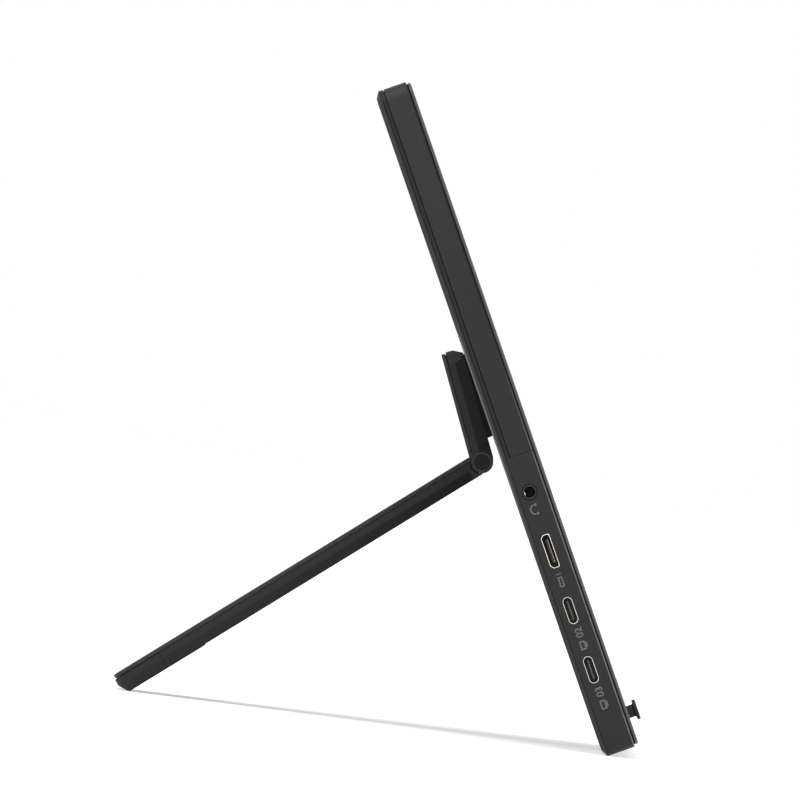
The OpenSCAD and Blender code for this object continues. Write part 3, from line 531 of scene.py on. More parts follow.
usb_metal = metal(
    "socket shell metal", (0.60, 0.60, 0.53), (0.76, 0.76, 0.69), (0.25, 0.35), 0.00008, 0.000001
)
hdmi_metal = metal(
    "plated shell metal", (0.70, 0.65, 0.54), (0.82, 0.78, 0.69), (0.2, 0.3), 0.00008, 0.000001
)
pale_plate = metal(
    "pale plating metal", (0.42, 0.37, 0.28), (0.58, 0.52, 0.4), (0.25, 0.35), 0.00006, 0.000001
)
shaded_metal = metal(
    "shaded shell metal", (0.09, 0.085, 0.055), (0.15, 0.14, 0.09), (0.3, 0.4), 0.00008, 0.000001
)
gold_plate = metal(
    "gold plating", (0.75, 0.50, 0.18), (0.9, 0.66, 0.28), (0.18, 0.3), 0.00006, 0.000001
)
hinge_steel = metal(
    "hinge steel", (0.4, 0.4, 0.41), (0.56, 0.57, 0.58), (0.25, 0.4), 0.0001, 0.000002
)
screw_steel = metal(
    "screw steel", (0.42, 0.42, 0.43), (0.58, 0.58, 0.6), (0.28, 0.42), 0.0001, 0.000002
)
sheet_steel = metal(
    "sheet steel", (0.45, 0.46, 0.47), (0.6, 0.61, 0.62), (0.35, 0.5), 0.0002, 0.000003
)
cast_alloy = metal(
    "cast alloy", (0.25, 0.26, 0.27), (0.36, 0.37, 0.38), (0.45, 0.6), 0.0004, 0.00001
)
print("metals:", len([m for m in bpy.data.materials if "metal" in m.name or "steel" in m.name]))

# %% [markdown]
# The screen is dark glass with a matt film. When it is off, the lit part of the panel is a shade
# lighter than the black border printed round it, which only shows from the front. Its mask is a
# rectangle in the case's own directions, so a Mapping node first turns the world's coordinates
# back by the case's lean.

# %% Screen glass
PICTURE_HALF_WIDTH = 172.1 * MM
PICTURE_LOW = 23 * MM
PICTURE_HIGH = 216.6 * MM
BORDER_COLOUR = (0.0015, 0.0015, 0.0017)
PICTURE_COLOUR = (0.006, 0.0065, 0.0078)
GLASS_GLOSS = (0.26, 0.34)
FILM_DEPTH = 0.000002
screen_glass, glass_shader, glass_place = start_material("screen glass", specular=0.28)
glass_tree = screen_glass.node_tree
glass_case = case_directions(screen_glass, glass_place)
across = math_node(glass_tree, "ABSOLUTE", glass_case["X"], None)
inside_sides = math_node(glass_tree, "LESS_THAN", across, PICTURE_HALF_WIDTH)
above_low = math_node(glass_tree, "GREATER_THAN", glass_case["Z"], PICTURE_LOW)
below_high = math_node(glass_tree, "LESS_THAN", glass_case["Z"], PICTURE_HIGH)
inside_rows = math_node(glass_tree, "MULTIPLY", above_low, below_high)
lit_part = math_node(glass_tree, "MULTIPLY", inside_sides, inside_rows)
glass_colour = mix_colours(screen_glass, lit_part, BORDER_COLOUR, PICTURE_COLOUR)
smudges = use_group(screen_glass, handling, glass_place, Patch_size=0.06)
matt_film = use_group(screen_glass, grain, glass_place, Grain_size=0.0002)
finish_with(
    screen_glass,
    glass_shader,
    glass_colour,
    smudges["Mask"],
    GLASS_GLOSS,
    matt_film["Height"],
    FILM_DEPTH,
)
print("glass nodes:", len(glass_tree.nodes))

# %% [markdown]
# The boards, the light guide, the lamps' tape and the ribbon are seen only when the monitor is
# taken apart, yet they have their own finishes too. The plastics' function makes them: a smooth
# grain and a high gloss turn plastic into lacquer or film, and the boards' greys become greens.

# %% Boards, film and lamps
board_green = plastic("board lacquer", 0.02, 0.03, (0.3, 0.42), 0.001, 0.000004)
acrylic = plastic("light guide acrylic", 0.6, 0.7, (0.1, 0.2), 0.002, 0.000002)
lamp_tape = plastic("lamp tape", 0.55, 0.68, (0.4, 0.5), 0.001, 0.000004, warmth=0.12)
ribbon_film = plastic("ribbon film", 0.12, 0.18, (0.3, 0.4), 0.001, 0.000003, warmth=0.6)
BOARD_GREENS = {6: (0.012, 0.06, 0.035, 1), 7: (0.018, 0.085, 0.05, 1)}
board_colour = board_green.node_tree.nodes["Mix"]
for socket_number, green in BOARD_GREENS.items():
    board_colour.inputs[socket_number].default_value = green
print("inner finishes:", [m.name for m in (board_green, acrylic, lamp_tape, ribbon_film)])

# %% [markdown]
# Each CAD node gets its finish by putting the material in its slots. The node's mesh and place
# stay untouched.

# %% Finishes for the CAD nodes


def set_finish(piece, material):
    """Make a material the only one of a piece."""
    piece.data.materials.clear()
    piece.data.materials.append(material)


node_finish = {
    case_plastic: ["rear_cover"],
    side_plastic: ["mid_frame", "socket_side_piece"],
    bezel_plastic: ["front_bezel"],
    screen_glass: ["lcd_glass"],
    acrylic: ["light_guide"],
    lamp_tape: ["led_strip"],
    sheet_steel: ["panel_tray", "chip_shield", "swivel_washer"],
    board_green: ["panel_driver_board", "main_board", "joystick_board"],
    ribbon_film: ["panel_ribbon"],
    chip_plastic: ["board_chips", "joystick_cable"],
    screw_steel: ["board_screws", "hub_screws", "swivel_stops", "joystick_dome"],
    usb_metal: ["usb_c_shell_1", "usb_c_shell_2"],
    hdmi_metal: ["hdmi_shell"],
    tongue_plastic: ["usb_c_tongues"],
    dark_tongue_plastic: ["hdmi_tongue"],
    socket_plastic: ["headphone_socket"],
    gold_plate: ["headphone_contacts"],
    inner_plastic: ["joystick_housing", "joystick_cradle", "joystick_rocker", "joystick_stem"],
    joystick_plastic: ["joystick_cap"],
    cast_alloy: ["swivel_bushing", "swivel_retainer"],
    hub_painted_light_plastic: ["swivel_hub"],
    plate_plastic: ["stand_base_body"],
    plate_cover_plastic: ["stand_base_cover"],
    stand_plastic: ["leg_body"],
    cover_plastic: ["leg_cover"],
    hinge_steel: ["hinge_pins", "friction_sleeves"],
    cap_plastic: ["hinge_end_caps"],
    foot_rubber: ["leg_foot"],
}
for finish, names in node_finish.items():
    for node_name in names:
        set_finish(frame["nodes"][node_name], finish)
finished = sum(len(names) for names in node_finish.values())
print("finished nodes:", finished, "of", len(frame["nodes"]))

# %% [markdown]
# ## Rounded edges
#
# No moulded edge is sharp. A radius of a quarter of a millimetre catches a thin line of light, and
# those lines are what makes the case, its grooves and its stand readable. The CAD solids have the
# right shape with sharp edges, so a copy of each outer shell is merged into clean faces and its
# edges are rounded with a Bevel modifier. A Weighted Normal modifier then keeps the large faces
# flat, so that only the rounding catches the light. The copy stands for the node. Rebuilding a
# shell from a primitive would be slower and less exact.

# %% Round a shell's edges
node_bodies = {
    name: body for body, names in frame["record"]["behaviour"]["bodies"].items() for name in names
}


def select_only(piece):
    """Deselect all, then select one object and make it active."""
    bpy.ops.object.select_all(action="DESELECT")
    piece.select_set(True)
    bpy.context.view_layer.objects.active = piece


def edit_all(piece):
    """Go into edit mode on one object, with all of its mesh selected."""
    select_only(piece)
    bpy.ops.object.mode_set(mode="EDIT")
    bpy.ops.mesh.select_all(action="SELECT")


def object_mode():
    """Leave edit mode, which also writes the edited mesh back."""
    bpy.ops.object.mode_set(mode="OBJECT")


def normals_outwards():
    """Make all the faces of the mesh in edit mode point outwards."""
    bpy.ops.mesh.select_all(action="SELECT")
    bpy.ops.mesh.normals_make_consistent(inside=False)


FRAME_FRONT = -10.4 * MM
MOUTH_CORNER_HEIGHT = 4.8 * MM
COPY_MERGE_WITHIN = 0.002 * MM
FLAT_WITHIN = math.radians(0.6)
SHARP_ABOVE = math.radians(26)
SMOOTH_BELOW = math.radians(32)


def is_front_edge(start, end):
    """Whether an edge lies on the frame's front face."""
    return max(start.y, end.y) < FRAME_FRONT


def is_mouth_corner(start, end):
    """Whether an edge runs into one of the small HDMI mouth's two corners towards the front."""
    runs_in = abs(end.x - start.x) > 1 * MM
    return runs_in and start.y < HDMI.y and abs(start.z - HDMI.z) > MOUTH_CORNER_HEIGHT


def round_edges(node_name, piece_name, width, chosen=None, chosen_width=0.0):
    """A copy of a node with its edges rounded, which rides and stands in for the node.

    The edges that `chosen` picks by their two ends on the case are rounded first, more widely.
    Widths are in millimetres.
    """
    select_only(frame["nodes"][node_name])
    bpy.ops.object.duplicate(linked=False)
    piece = bpy.context.active_object
    piece.name = piece_name
    piece.data.name = piece_name
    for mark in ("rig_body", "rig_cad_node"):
        del piece[mark]
    edit_all(piece)
    bpy.ops.mesh.customdata_custom_splitnormals_clear()
    bpy.ops.mesh.remove_doubles(threshold=COPY_MERGE_WITHIN)
    bpy.ops.mesh.dissolve_limited(angle_limit=FLAT_WITHIN)
    object_mode()
    if chosen:
        edit_all(piece)
        bpy.ops.mesh.select_mode(type="EDGE")
        bpy.ops.mesh.select_all(action="DESELECT")
        object_mode()
        for edge in piece.data.edges:
            edge.select = chosen(*(case_place(piece.data.vertices[i].co) for i in edge.vertices))
        bpy.ops.object.mode_set(mode="EDIT")
        bpy.ops.mesh.bevel(offset=chosen_width * MM, segments=3)
        bpy.ops.mesh.select_mode(type="VERT")
        object_mode()
    bevel = piece.modifiers.new("rounded edges", "BEVEL")
    bevel.width = width * MM
    bevel.segments = 2
    bevel.limit_method = "ANGLE"
    bevel.angle_limit = SHARP_ABOVE
    bevel.use_clamp_overlap = True
    bpy.ops.object.modifier_apply(modifier=bevel.name)
    bpy.ops.object.shade_smooth_by_angle(angle=SMOOTH_BELOW)
    even = piece.modifiers.new("flat faces", "WEIGHTED_NORMAL")
    even.keep_sharp = True
    bpy.ops.object.modifier_apply(modifier=even.name)
    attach(piece, node_bodies[node_name])
    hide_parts(node_name)
    print(piece_name, "faces:", len(piece.data.polygons))
    return piece


ROUNDED_SHELLS = {
    "rear_cover": ("rear_cover_shell", 0.2),
    "mid_frame": ("frame_shell", 0.15, is_front_edge, 0.35),
    "socket_side_piece": ("side_piece_shell", 0.08, is_front_edge, 0.35),
    "front_bezel": ("bezel_shell", 0.2),
    "stand_base_body": ("base_plate_shell", 0.2),
    "stand_base_cover": ("base_plate_cover", 0.15),
    "leg_body": ("leg_shell", 0.2),
    "leg_cover": ("leg_top_cover", 0.15),
    "leg_foot": ("leg_foot_moulding", 0.4),
    "hinge_end_caps": ("hinge_caps", 0.1),
    "swivel_hub": ("hub_moulding", 0.2),
    "usb_c_shell_1": ("usb_shell_lower", 0.05),
    "usb_c_shell_2": ("usb_shell_upper", 0.05),
    "hdmi_shell": ("hdmi_mouth_shell", 0.05, is_mouth_corner, 0.6),
    "usb_c_tongues": ("usb_tongue_mouldings", 0.2),
    "hdmi_tongue": ("hdmi_tongue_moulding", 0.15),
}
rounded = {node_name: round_edges(node_name, *shape) for node_name, shape in ROUNDED_SHELLS.items()}

# %% [markdown]
# The base plate's body tapers towards the case. The faces that look at the case get a lighter copy
# of the plate's plastic, painted light against the shade they lie in, and they show as a grey band
# in the narrow gap behind the case.

# %% Painted light on the base plate's flanks
LOOKS_AT_CASE = -0.2
flank_faces = rounded["stand_base_body"].data
flank_faces.materials.append(flank_painted_light_plastic)
# Painted light: the faces towards the case get the lighter copy of the plastic.
for face in flank_faces.polygons:
    if face.normal.dot(BACKWARDS) < LOOKS_AT_CASE:
        face.material_index = 1
print("bare faces:", sum(face.material_index == 1 for face in flank_faces.polygons))

# %% [markdown]
# The floors of the grooves under the stand's two covers are painted lighter still, as painted
# light: little light comes so far in, and it keeps the seams from turning black.

# %% Painted light on the floors of the stand's grooves
GROOVE_FLOOR_X = (47.1 * MM, 47.3 * MM)
LOOKS_SIDEWAYS = 0.9
# Painted light: the groove floors get a much lighter plastic.
for node_name in ("stand_base_body", "leg_body"):
    groove_faces = rounded[node_name].data
    groove_faces.materials.append(groove_painted_light_plastic)
    floor_slot = len(groove_faces.materials) - 1
    for face in groove_faces.polygons:
        inset = GROOVE_FLOOR_X[0] < abs(face.center.x) < GROOVE_FLOOR_X[1]
        if inset and abs(face.normal.x) > LOOKS_SIDEWAYS:
            face.material_index = floor_slot
    floors = sum(face.material_index == floor_slot for face in groove_faces.polygons)
    print(node_name, "groove floors:", floors)

# %% [markdown]
# Along each side of the base plate's underside lies a thin soft pad, a wedge that fills the gap
# down to the case's back and slides on it as the stand turns. Each is a cube whose corners are set
# in the case's own directions. The helpers are for every piece from here on: one starts from a
# primitive with nothing else selected, one puts a piece in its place, and one gives a finished
# piece its material and body.

# %% Glide pads under the base plate
PAD_SIDES = (46.1 * MM, 44.6 * MM)
PAD_HEIGHTS = (108.2 * MM, 136.0 * MM)
PAD_TOPS = (1.84 * MM, 0.42 * MM)
PAD_FOOT = 0.04 * MM
ENDS = ((-1, "left"), (1, "right"))


def start_from(add_primitive, name):
    """A new primitive, one metre across, at the origin with nothing else selected."""
    bpy.ops.object.select_all(action="DESELECT")
    add_primitive(size=1, location=(0, 0, 0))
    piece = bpy.context.active_object
    piece.name = name
    return piece


def put(piece, place, turn):
    """Turn a piece by a matrix, put it at a place, and apply both to its mesh."""
    select_only(piece)
    piece.matrix_world = Matrix.Translation(place) @ turn
    bpy.ops.object.transform_apply(location=True, rotation=True, scale=True)


def complete(piece, material, body):
    """Give a piece its finish and body, and say how many faces it has."""
    set_finish(piece, material)
    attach(piece, body)
    print(piece.name, "faces:", len(piece.data.polygons))
    return piece


for side, side_name in ENDS:
    pad = start_from(bpy.ops.mesh.primitive_cube_add, "glide_pad_" + side_name)
    for corner in pad.data.vertices:
        upper = corner.co.z > 0
        depth = PAD_TOPS[upper] if corner.co.y > 0 else PAD_FOOT
        corner.co = on_case(side * PAD_SIDES[corner.co.x > 0], depth, PAD_HEIGHTS[upper])
    edit_all(pad)
    normals_outwards()
    object_mode()
    complete(pad, pad_plastic, "stand_base")

# %% [markdown]
# The sockets' metal shells are bright only at their mouths. Their walls run into the dark case, so
# every face that doesn't look outwards gets a darker copy of the metal: painted shade.

# %% Painted shade on the walls of the metal shells
LOOKS_OUTWARDS = -0.95
# Painted shade: the walls that don't look outwards get a darker copy of the metal.
for node_name in ("usb_c_shell_1", "usb_c_shell_2", "hdmi_shell"):
    shell = rounded[node_name].data
    shell.materials.append(shaded_metal)
    for face in shell.polygons:
        if face.normal.x > LOOKS_OUTWARDS:
            face.material_index = 1
    print(node_name, "bright faces:", sum(face.material_index == 0 for face in shell.polygons))

# %% [markdown]
# The grooves before and behind the frame are shallow: a dark strip lies in each, a little below
# the surface, and its dark grey is painted shade for the groove. A strip is a flat ring, made from
# a plane with round corners whose middle is inset and deleted, and then given its thickness.

# %% Painted shade strips in the two grooves
CASE_WIDTH = 357 * MM
CASE_HEIGHT = 224 * MM
CASE_CORNER = 4.5 * MM


def rectangle(name, centre, width, height, angle=0.0):
    """A plane of a width and height round a point, turned by an angle, in metres and radians."""
    piece = start_from(bpy.ops.mesh.primitive_plane_add, name)
    shape = Matrix.Rotation(angle, 4, "Z") @ Matrix.Diagonal((width, height, 1, 1))
    put(piece, (*centre, 0), shape)
    return piece


def seam_strip(name, below, width, back, front):
    """A ring in a groove, from below the surface inwards, between two depths in the case."""
    strip = rectangle(name, (0, 0), CASE_WIDTH - 2 * below, CASE_HEIGHT - 2 * below)
    edit_all(strip)
    bpy.ops.mesh.bevel(offset=CASE_CORNER - below, segments=10, affect="VERTICES")
    bpy.ops.mesh.select_all(action="SELECT")
    bpy.ops.mesh.inset(thickness=width)
    bpy.ops.mesh.delete(type="FACE")
    bpy.ops.mesh.select_all(action="SELECT")
    bpy.ops.mesh.extrude_region_move(TRANSFORM_OT_translate={"value": (0, 0, back - front)})
    normals_outwards()
    object_mode()
    put(strip, on_case(0, back, CASE_HEIGHT / 2), turned_to(INWARDS, UPWARDS, -BACKWARDS))
    complete(strip, seam_shade_plastic, "case")


# Painted shade: the strips' dark grey stands for the shade in the two grooves.
seam_strip("rear_groove_strip", 0.45 * MM, 0.6 * MM, -2.76 * MM, -3.04 * MM)
seam_strip("front_groove_strip", 0.85 * MM, 0.8 * MM, -10.51 * MM, -10.99 * MM)

# %% [markdown]
# ## Printed marks
#
# Beside each socket the side piece carries a small grey print. The headphone socket has the usual
# pictogram, and the others have plain numbers with a plain outline of a mouth or a screen. Ink has
# almost no thickness, but as a real layer it keeps its crisp edge from every distance. Each mark is
# drawn flat in its own plane and then laid on the side face by one matrix: its reading direction
# runs up the case, and its top points to the back.

# %% Lay a flat drawing on the side
INK = 0.015 * MM
MERGE_WITHIN = 0.001 * MM


def lay_on_side(piece, socket, below, forwards):
    """Lay a flat drawing on the side face, below and in front of a socket, as ink."""
    centre = on_case(SIDE_X, socket.y - forwards * MM, socket.z - below * MM)
    put(piece, centre, turned_to(UPWARDS, BACKWARDS, -INWARDS))
    complete(piece, print_ink, "case")


def thicken(piece):
    """Give a flat drawing the thickness of ink, with the drawing as its lower face."""
    edit_all(piece)
    bpy.ops.mesh.remove_doubles(threshold=MERGE_WITHIN)
    bpy.ops.mesh.normals_make_consistent(inside=False)
    bpy.ops.mesh.extrude_region_move(TRANSFORM_OT_translate={"value": (0, 0, INK)})
    normals_outwards()
    object_mode()


# %% [markdown]
# A number starts as a text object. It is typed, centred and made a little bolder while it is still
# text, and becomes a mesh once its size is right. Drawing the figures by hand would take longer
# and look less even.

# %% Plain numbers


def number_mark(text, height, name, boldness=0.06):
    """A plain number as flat faces, centred on the origin. Sizes are in millimetres."""
    bpy.ops.object.select_all(action="DESELECT")
    bpy.ops.object.text_add(location=(0, 0, 0))
    mark = bpy.context.active_object
    mark.data.body = text
    mark.data.size = height * MM
    mark.data.offset = boldness * MM
    mark.data.align_x = "CENTER"
    mark.data.align_y = "CENTER"
    bpy.ops.object.convert(target="MESH")
    mark = bpy.context.active_object
    mark.name = name
    thicken(mark)
    return mark


lay_on_side(number_mark("1", 2.4, "print_number_1"), HDMI, 7.75, 0.2)
lay_on_side(number_mark("02", 3.3, "print_number_2", 0.09), USB_UPPER, 7.5, 0.38)
lay_on_side(number_mark("03", 3.3, "print_number_3", 0.09), USB_LOWER, 7.5, 0.38)

# %% [markdown]
# The outline of a mouth is a rectangle drawn as an even line, and a screen is the same on a short
# foot. Insetting a plane and deleting its middle leaves just such a line.

# %% Outlines of a mouth and a screen
OUTLINE_RAISED = 0.2 * MM
FOOT_BELOW_MIDDLE = 0.1 * MM


def join_into(piece, others):
    """Join other pieces into one."""
    select_only(piece)
    for other in others:
        other.select_set(True)
    bpy.ops.object.join()


def outline_mark(name, width, height, line, foot_width=0.0):
    """A rectangle drawn as a line, on a foot if it has one, as flat faces. Sizes in millimetres."""
    centre = (0, OUTLINE_RAISED if foot_width else 0)
    mark = rectangle(name, centre, width * MM, height * MM)
    edit_all(mark)
    bpy.ops.mesh.inset(thickness=line * MM)
    bpy.ops.mesh.delete(type="FACE")
    object_mode()
    if foot_width:
        foot_centre = (0, -FOOT_BELOW_MIDDLE - height / 2 * MM)
        foot = rectangle("foot", foot_centre, foot_width * MM, line * MM)
        join_into(mark, [foot])
    thicken(mark)
    return mark


lay_on_side(outline_mark("print_mouth_1", 3.4, 1.5, 0.4), HDMI, 10.4, 0.2)
lay_on_side(outline_mark("print_screen_2", 3.0, 1.9, 0.5, 1.8), USB_UPPER, 11.8, 0.35)
lay_on_side(outline_mark("print_screen_3", 3.0, 1.9, 0.5, 1.8), USB_LOWER, 11.8, 0.35)

# %% [markdown]
# The headphone pictogram is an arc with an ear cushion at each end. The arc is spun from one short
# edge strip round a point, which keeps its width even.

# %% Headphone pictogram
BAND_RADIUS = 1.5 * MM
BAND_WIDTH = 0.5 * MM
BAND_ANGLE = math.radians(190)
CUSHION_SIZE = (0.8 * MM, 0.9 * MM)
CUSHION_ANGLE = math.radians(8)
CUSHION_SHIFT = (-0.05 * MM, -0.25 * MM)
CUSHION_ROUNDING = 0.2 * MM
band = start_from(bpy.ops.mesh.primitive_plane_add, "print_headphones")
edit_all(band)
bpy.ops.mesh.delete(type="ONLY_FACE")
object_mode()
start_angle = math.pi / 2 - BAND_ANGLE / 2
near_end = Vector((math.cos(start_angle), math.sin(start_angle), 0))
for vertex in band.data.vertices:
    outer = vertex.co.x > 0
    vertex.co = near_end * (BAND_RADIUS + (BAND_WIDTH / 2 if outer else -BAND_WIDTH / 2))
edit_all(band)
bpy.ops.mesh.remove_doubles(threshold=MERGE_WITHIN)
bpy.ops.mesh.spin(steps=28, angle=BAND_ANGLE, center=(0, 0, 0), axis=(0, 0, -1))
object_mode()
cushions = []
for side in (-1, 1):
    angle = math.pi / 2 + side * BAND_ANGLE / 2
    cushion_centre = (
        math.cos(angle) * (BAND_RADIUS + CUSHION_SHIFT[0]),
        math.sin(angle) * BAND_RADIUS + CUSHION_SHIFT[1],
    )
    cushion = rectangle("cushion", cushion_centre, *CUSHION_SIZE, side * CUSHION_ANGLE)
    edit_all(cushion)
    bpy.ops.mesh.bevel(offset=CUSHION_ROUNDING, segments=3, affect="VERTICES")
    object_mode()
    cushions.append(cushion)
join_into(band, cushions)
thicken(band)
lay_on_side(band, JACK, 5.8, -0.05)

# %% [markdown]
# ## Inside the sockets
#
# A USB-C tongue carries twelve gold pads on each face, and the small HDMI tongue nineteen on two.
# They are tiny, but their glint shows through the mouth. One pad is a box with rounded edges, and
# each row repeats it, so a row is one piece of a few hundred faces.

# %% Gold pads on the tongues
TONGUE_HALF = 0.35
PAD_ROUNDING = 0.01 * MM
SQUARE_ON_CASE = turned_to(INWARDS, BACKWARDS, UPWARDS)


def pad_row(name, socket, finish, faces, count, pitch, width, first, length, proud):
    """A row of contact pads on one or both faces of a tongue. Sizes are in millimetres."""
    pads = []
    for face in faces:
        for i in range(count):
            centre = on_case(
                SIDE_X + (first + length / 2) * MM,
                socket.y + face * (TONGUE_HALF + proud / 2) * MM,
                socket.z + (i - (count - 1) / 2) * pitch * MM,
            )
            pad = start_from(bpy.ops.mesh.primitive_cube_add, name)
            size = Matrix.Diagonal((length * MM, proud * MM, width * MM, 1))
            put(pad, centre, SQUARE_ON_CASE @ size)
            edit_all(pad)
            bpy.ops.mesh.bevel(offset=PAD_ROUNDING, segments=1)
            object_mode()
            pads.append(pad)
    join_into(pads[0], pads[1:])
    complete(pads[0], finish, "case")


BOTH_FACES = (-1, 1)
pad_row("usb_pads_upper", USB_UPPER, gold_plate, BOTH_FACES, 12, 0.5, 0.26, 1.9, 2.8, 0.015)
pad_row("usb_pads_lower", USB_LOWER, gold_plate, BOTH_FACES, 12, 0.5, 0.26, 1.9, 2.8, 0.015)
pad_row("hdmi_pads_front", HDMI, pale_plate, (-1,), 10, 0.77, 0.7, 1.12, 3.4, 0.13)
pad_row("hdmi_pads_back", HDMI, pale_plate, (1,), 9, 0.77, 0.4, 2.2, 2.4, 0.03)

# %% [markdown]
# The headphone socket is a black collar with a ring-shaped groove round its mouth, and a
# thin satin lip inside it. Its faces deeper than 0.3 mm get a still blacker plastic, painted shade
# for the groove and the bore. Its half section is a chain of edges, drawn once and spun a full turn
# about the socket's axis, as on a lathe. It stands for the plain CAD socket.

# %% Headphone collar
BORE_RADIUS = mounts["headphone_socket"]["dims"]["r_mm"]
BORE_LENGTH = mounts["headphone_socket"]["dims"]["length_mm"]
SHADE_FROM = 0.3 * MM
COLLAR_WALL = [(2.6, 2.55), (0.55, 2.55), (0.5, 2.5), (0.5, 2.26)]
COLLAR_LIP = [(0.1, 2.23), (0.03, 2.16), (0.02, 2.08), (0.03, 1.98), (0.1, 1.86)]
COLLAR_BORE = [(0.3, BORE_RADIUS), (BORE_LENGTH, BORE_RADIUS), (BORE_LENGTH, 0.0)]


LATHE_SMOOTH_BELOW = math.radians(30)


def turned_piece(name, section, start, inwards, body, material, steps=64):
    """Spin a half section, given as (depth, radius) in millimetres, about a line inwards."""
    points = [start + inwards * depth * MM + UPWARDS * radius * MM for depth, radius in section]
    piece = start_from(bpy.ops.mesh.primitive_plane_add, name)
    edit_all(piece)
    bpy.ops.mesh.delete(type="ONLY_FACE")
    bpy.ops.mesh.select_all(action="SELECT")
    bpy.ops.mesh.merge(type="CENTER")
    object_mode()
    piece.data.vertices[0].co = points[0]
    edit_all(piece)
    for previous, point in zip(points, points[1:]):
        bpy.ops.mesh.extrude_vertices_move(TRANSFORM_OT_translate={"value": point - previous})
    bpy.ops.mesh.select_all(action="SELECT")
    bpy.ops.mesh.spin(steps=steps, angle=2 * math.pi, center=start, axis=inwards)
    bpy.ops.mesh.select_all(action="SELECT")
    bpy.ops.mesh.remove_doubles(threshold=MERGE_WITHIN)
    normals_outwards()
    object_mode()
    bpy.ops.object.shade_smooth_by_angle(angle=LATHE_SMOOTH_BELOW)
    return complete(piece, material, body)


collar = turned_piece(
    "headphone_collar",
    COLLAR_WALL + COLLAR_LIP + COLLAR_BORE,
    on_case(SIDE_X, JACK.y, JACK.z),
    INWARDS,
    "case",
    collar_plastic,
)
# Painted shade: faces deeper than SHADE_FROM get the black socket plastic, for the groove and bore.
collar.data.materials.append(socket_plastic)
for face in collar.data.polygons:
    if face.center.x > SIDE_X + SHADE_FROM:
        face.material_index = 1
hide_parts("headphone_socket")

# %% [markdown]
# Just inside the mouth a gold leaf spring waits for the plug. It is a small plate bent over the
# bore's rear wall: a rounded box is enough for its size.

# %% Leaf spring in the headphone bore
LEAF_SIZE = Matrix.Diagonal((1.6 * MM, 0.3 * MM, 1.2 * MM, 1))
LEAF_PLACE = on_case(SIDE_X + 1.15 * MM, JACK.y + 1.62 * MM, JACK.z)
LEAF_ROUNDING = 0.12 * MM
leaf = start_from(bpy.ops.mesh.primitive_cube_add, "headphone_leaf_spring")
put(leaf, LEAF_PLACE, SQUARE_ON_CASE @ LEAF_SIZE)
edit_all(leaf)
bpy.ops.mesh.bevel(offset=LEAF_ROUNDING, segments=3)
object_mode()
bpy.ops.object.shade_smooth_by_angle(angle=SMOOTH_BELOW)
complete(leaf, hdmi_metal, "case")

# %% [markdown]
# The joystick's cap is a flat disc on a thick round neck, a plain turned shape, so it comes from
# the same lathe. Its edge is blunt with a small rounding, and a hollow under the neck takes the
# stem. Depths run from the disc's face into the case.

# %% Joystick cap
CAP_REACH = 7.85 * MM
CAP_FACE = [(0.0, 0.0), (0.0, 3.0), (0.06, 3.1), (0.12, 3.18), (0.22, 3.25)]
CAP_BACK = [(1.0, 3.25), (1.08, 3.21), (1.12, 3.12), (1.12, 2.45)]
CAP_NECK = [(1.16, 2.27), (1.26, 2.11), (1.4, 2.02), (1.56, 1.99), (6.35, 1.99)]
CAP_HOLLOW = [(6.35, 1.075), (3.8, 1.075), (3.8, 0.0)]
joystick_pivot = Vector(joints["joystick_up_down"]["pos_m"])
joystick_moulding = turned_piece(
    "joystick_cap_moulding",
    CAP_FACE + CAP_BACK + CAP_NECK + CAP_HOLLOW,
    joystick_pivot - BACKWARDS * CAP_REACH,
    BACKWARDS,
    node_bodies["joystick_cap"],
    joystick_plastic,
)
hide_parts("joystick_cap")

# %% [markdown]
# Round each end cap of the hinge lies a thin satin ring, which fills the chamfer between the cap
# and the barrel. Its lighter grey is a painted highlight, the light line along the cap's rim. It is
# turned on the same lathe, once for each end.

# %% Rings round the hinge's end caps
RING_FOOT = (0.3, 2.66)
RING_TOP = [(0.06, 2.66), (0.01, 2.72), (0.01, 3.12), (0.06, 3.18), (0.3, 3.18)]
hinge_point = Vector(joints["leg_hinge"]["pos_m"])
for side, side_name in ENDS:
    end_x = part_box("hinge_end_caps")[0 if side < 0 else 1].x
    turned_piece(
        "hinge_ring_" + side_name,
        [RING_FOOT, *RING_TOP, RING_FOOT],
        Vector((end_x, hinge_point.y, hinge_point.z)),
        INWARDS * -side,
        "stand_base",
        ring_highlight_plastic,
    )

# %% [markdown]
# Two thin rubber strips close the running gap between the leg and the barrel. The thicker one lies
# in the corner with the base plate, and softens the open stop. Each is a long round bar with blunt
# ends, from the same lathe, and moves with the leg.

# %% Rubber strips in the hinge's gap
STRIP_LENGTH = 93.0
HINGE_STRIPS = {
    "hinge_corner_strip": ((4.15, 0.3), 0.42),
    "hinge_under_strip": ((0.44, -3.7), 0.1),
}
for name, (strip_place, radius) in HINGE_STRIPS.items():
    blunt = radius / 4
    turned_piece(
        name,
        [
            (0, 0),
            (0, radius - blunt),
            (blunt, radius),
            (STRIP_LENGTH - blunt, radius),
            (STRIP_LENGTH, radius - blunt),
            (STRIP_LENGTH, 0),
        ],
        hinge_point + Vector((-STRIP_LENGTH / 2, *strip_place)) * MM,
        INWARDS,
        "leg",
        foot_rubber,
        steps=24,
    )

# %% [markdown]
# ## Studio
#
# The floor is a large pale plane. Where the camera or a reflection sees it, it also glows a
# little, so that it runs into the white background without a line and still keeps the shadow.

# %% Floor
FLOOR_SIZE = 60
bpy.ops.object.select_all(action="DESELECT")
bpy.ops.mesh.primitive_plane_add(size=FLOOR_SIZE, location=(0, 0, 0))
floor = bpy.context.active_object
floor.name = "studio_floor"
FLOOR_GREY = (0.93, 0.93, 0.93, 1)
FLOOR_GLOW = 0.5


def seen_directly(tree):
    """A mask for the rays from the camera and from reflections, and the Light Path's outputs."""
    path = tree.nodes.new("ShaderNodeLightPath").outputs
    return math_node(tree, "MAXIMUM", path["Is Camera Ray"], path["Is Glossy Ray"]), path


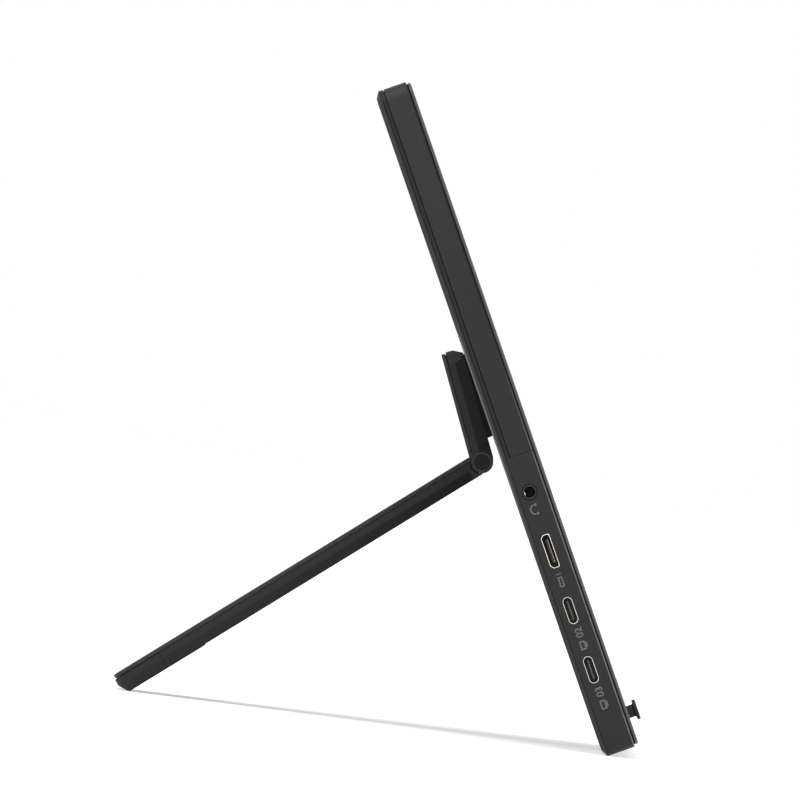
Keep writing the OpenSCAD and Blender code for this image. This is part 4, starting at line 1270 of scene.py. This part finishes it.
floor_paint, floor_shader, _ = start_material("floor paint", specular=0.1, Roughness=0.9)
floor_tree = floor_paint.node_tree
floor_shader.inputs["Base Color"].default_value = FLOOR_GREY
floor_shader.inputs["Emission Color"].default_value = (1, 1, 1, 1)
seen, _ = seen_directly(floor_tree)
glow = math_node(floor_tree, "MULTIPLY", seen, FLOOR_GLOW)
floor_tree.links.new(glow, floor_shader.inputs["Emission Strength"])
floor.data.materials.append(floor_paint)
print("floor:", FLOOR_SIZE, "m across")

# %% [markdown]
# The world gives even light from all round. It is white where the camera or a reflection sees it,
# and weaker as light on the object, so a Light Path node chooses between the two strengths.

# %% World
AMBIENT = 0.7
world = bpy.data.worlds.new("white studio")
bpy.context.scene.world = world
world.use_nodes = True
background = world.node_tree.nodes["Background"]
background.inputs["Color"].default_value = (1, 1, 1, 1)
direct, path = seen_directly(world.node_tree)
direct = math_node(world.node_tree, "MAXIMUM", direct, path["Is Transmission Ray"])
strength = math_node(world.node_tree, "MULTIPLY_ADD", direct, 1 - AMBIENT, AMBIENT)
world.node_tree.links.new(strength, background.inputs["Strength"])
print("light from all round:", AMBIENT)

# %% [markdown]
# Three soft lamps shape the object: one overhead for the top and the back, one in front that draws
# the thin bright lines along the front edges, and a broad one for the side with the sockets. Area
# lamps are used because their shadows have soft edges, as in a studio.

# %% Lamps
LIT_POINT = Vector((0, 0, 0.1))


def soft_lamp(name, place, size, power):
    """A square area lamp that faces the middle of the object."""
    data = bpy.data.lights.new(name, "AREA")
    data.size = size
    data.energy = power
    lamp = bpy.data.objects.new(name, data)
    bpy.context.scene.collection.objects.link(lamp)
    lamp.location = place
    aim = LIT_POINT - Vector(place)
    lamp.rotation_euler = aim.to_track_quat("-Z", "Y").to_euler()


soft_lamp("overhead", place=(-0.6, 0.3, 0.95), size=0.7, power=4.5)
soft_lamp("front strip", place=(-0.5, -1.6, 0.5), size=0.9, power=8)
soft_lamp("socket side", place=(-2.0, 0.3, 0.9), size=1.4, power=7)

# %% [markdown]
# The Standard view transform shows each colour about as it is written.

bpy.context.scene.view_settings.view_transform = "Standard"
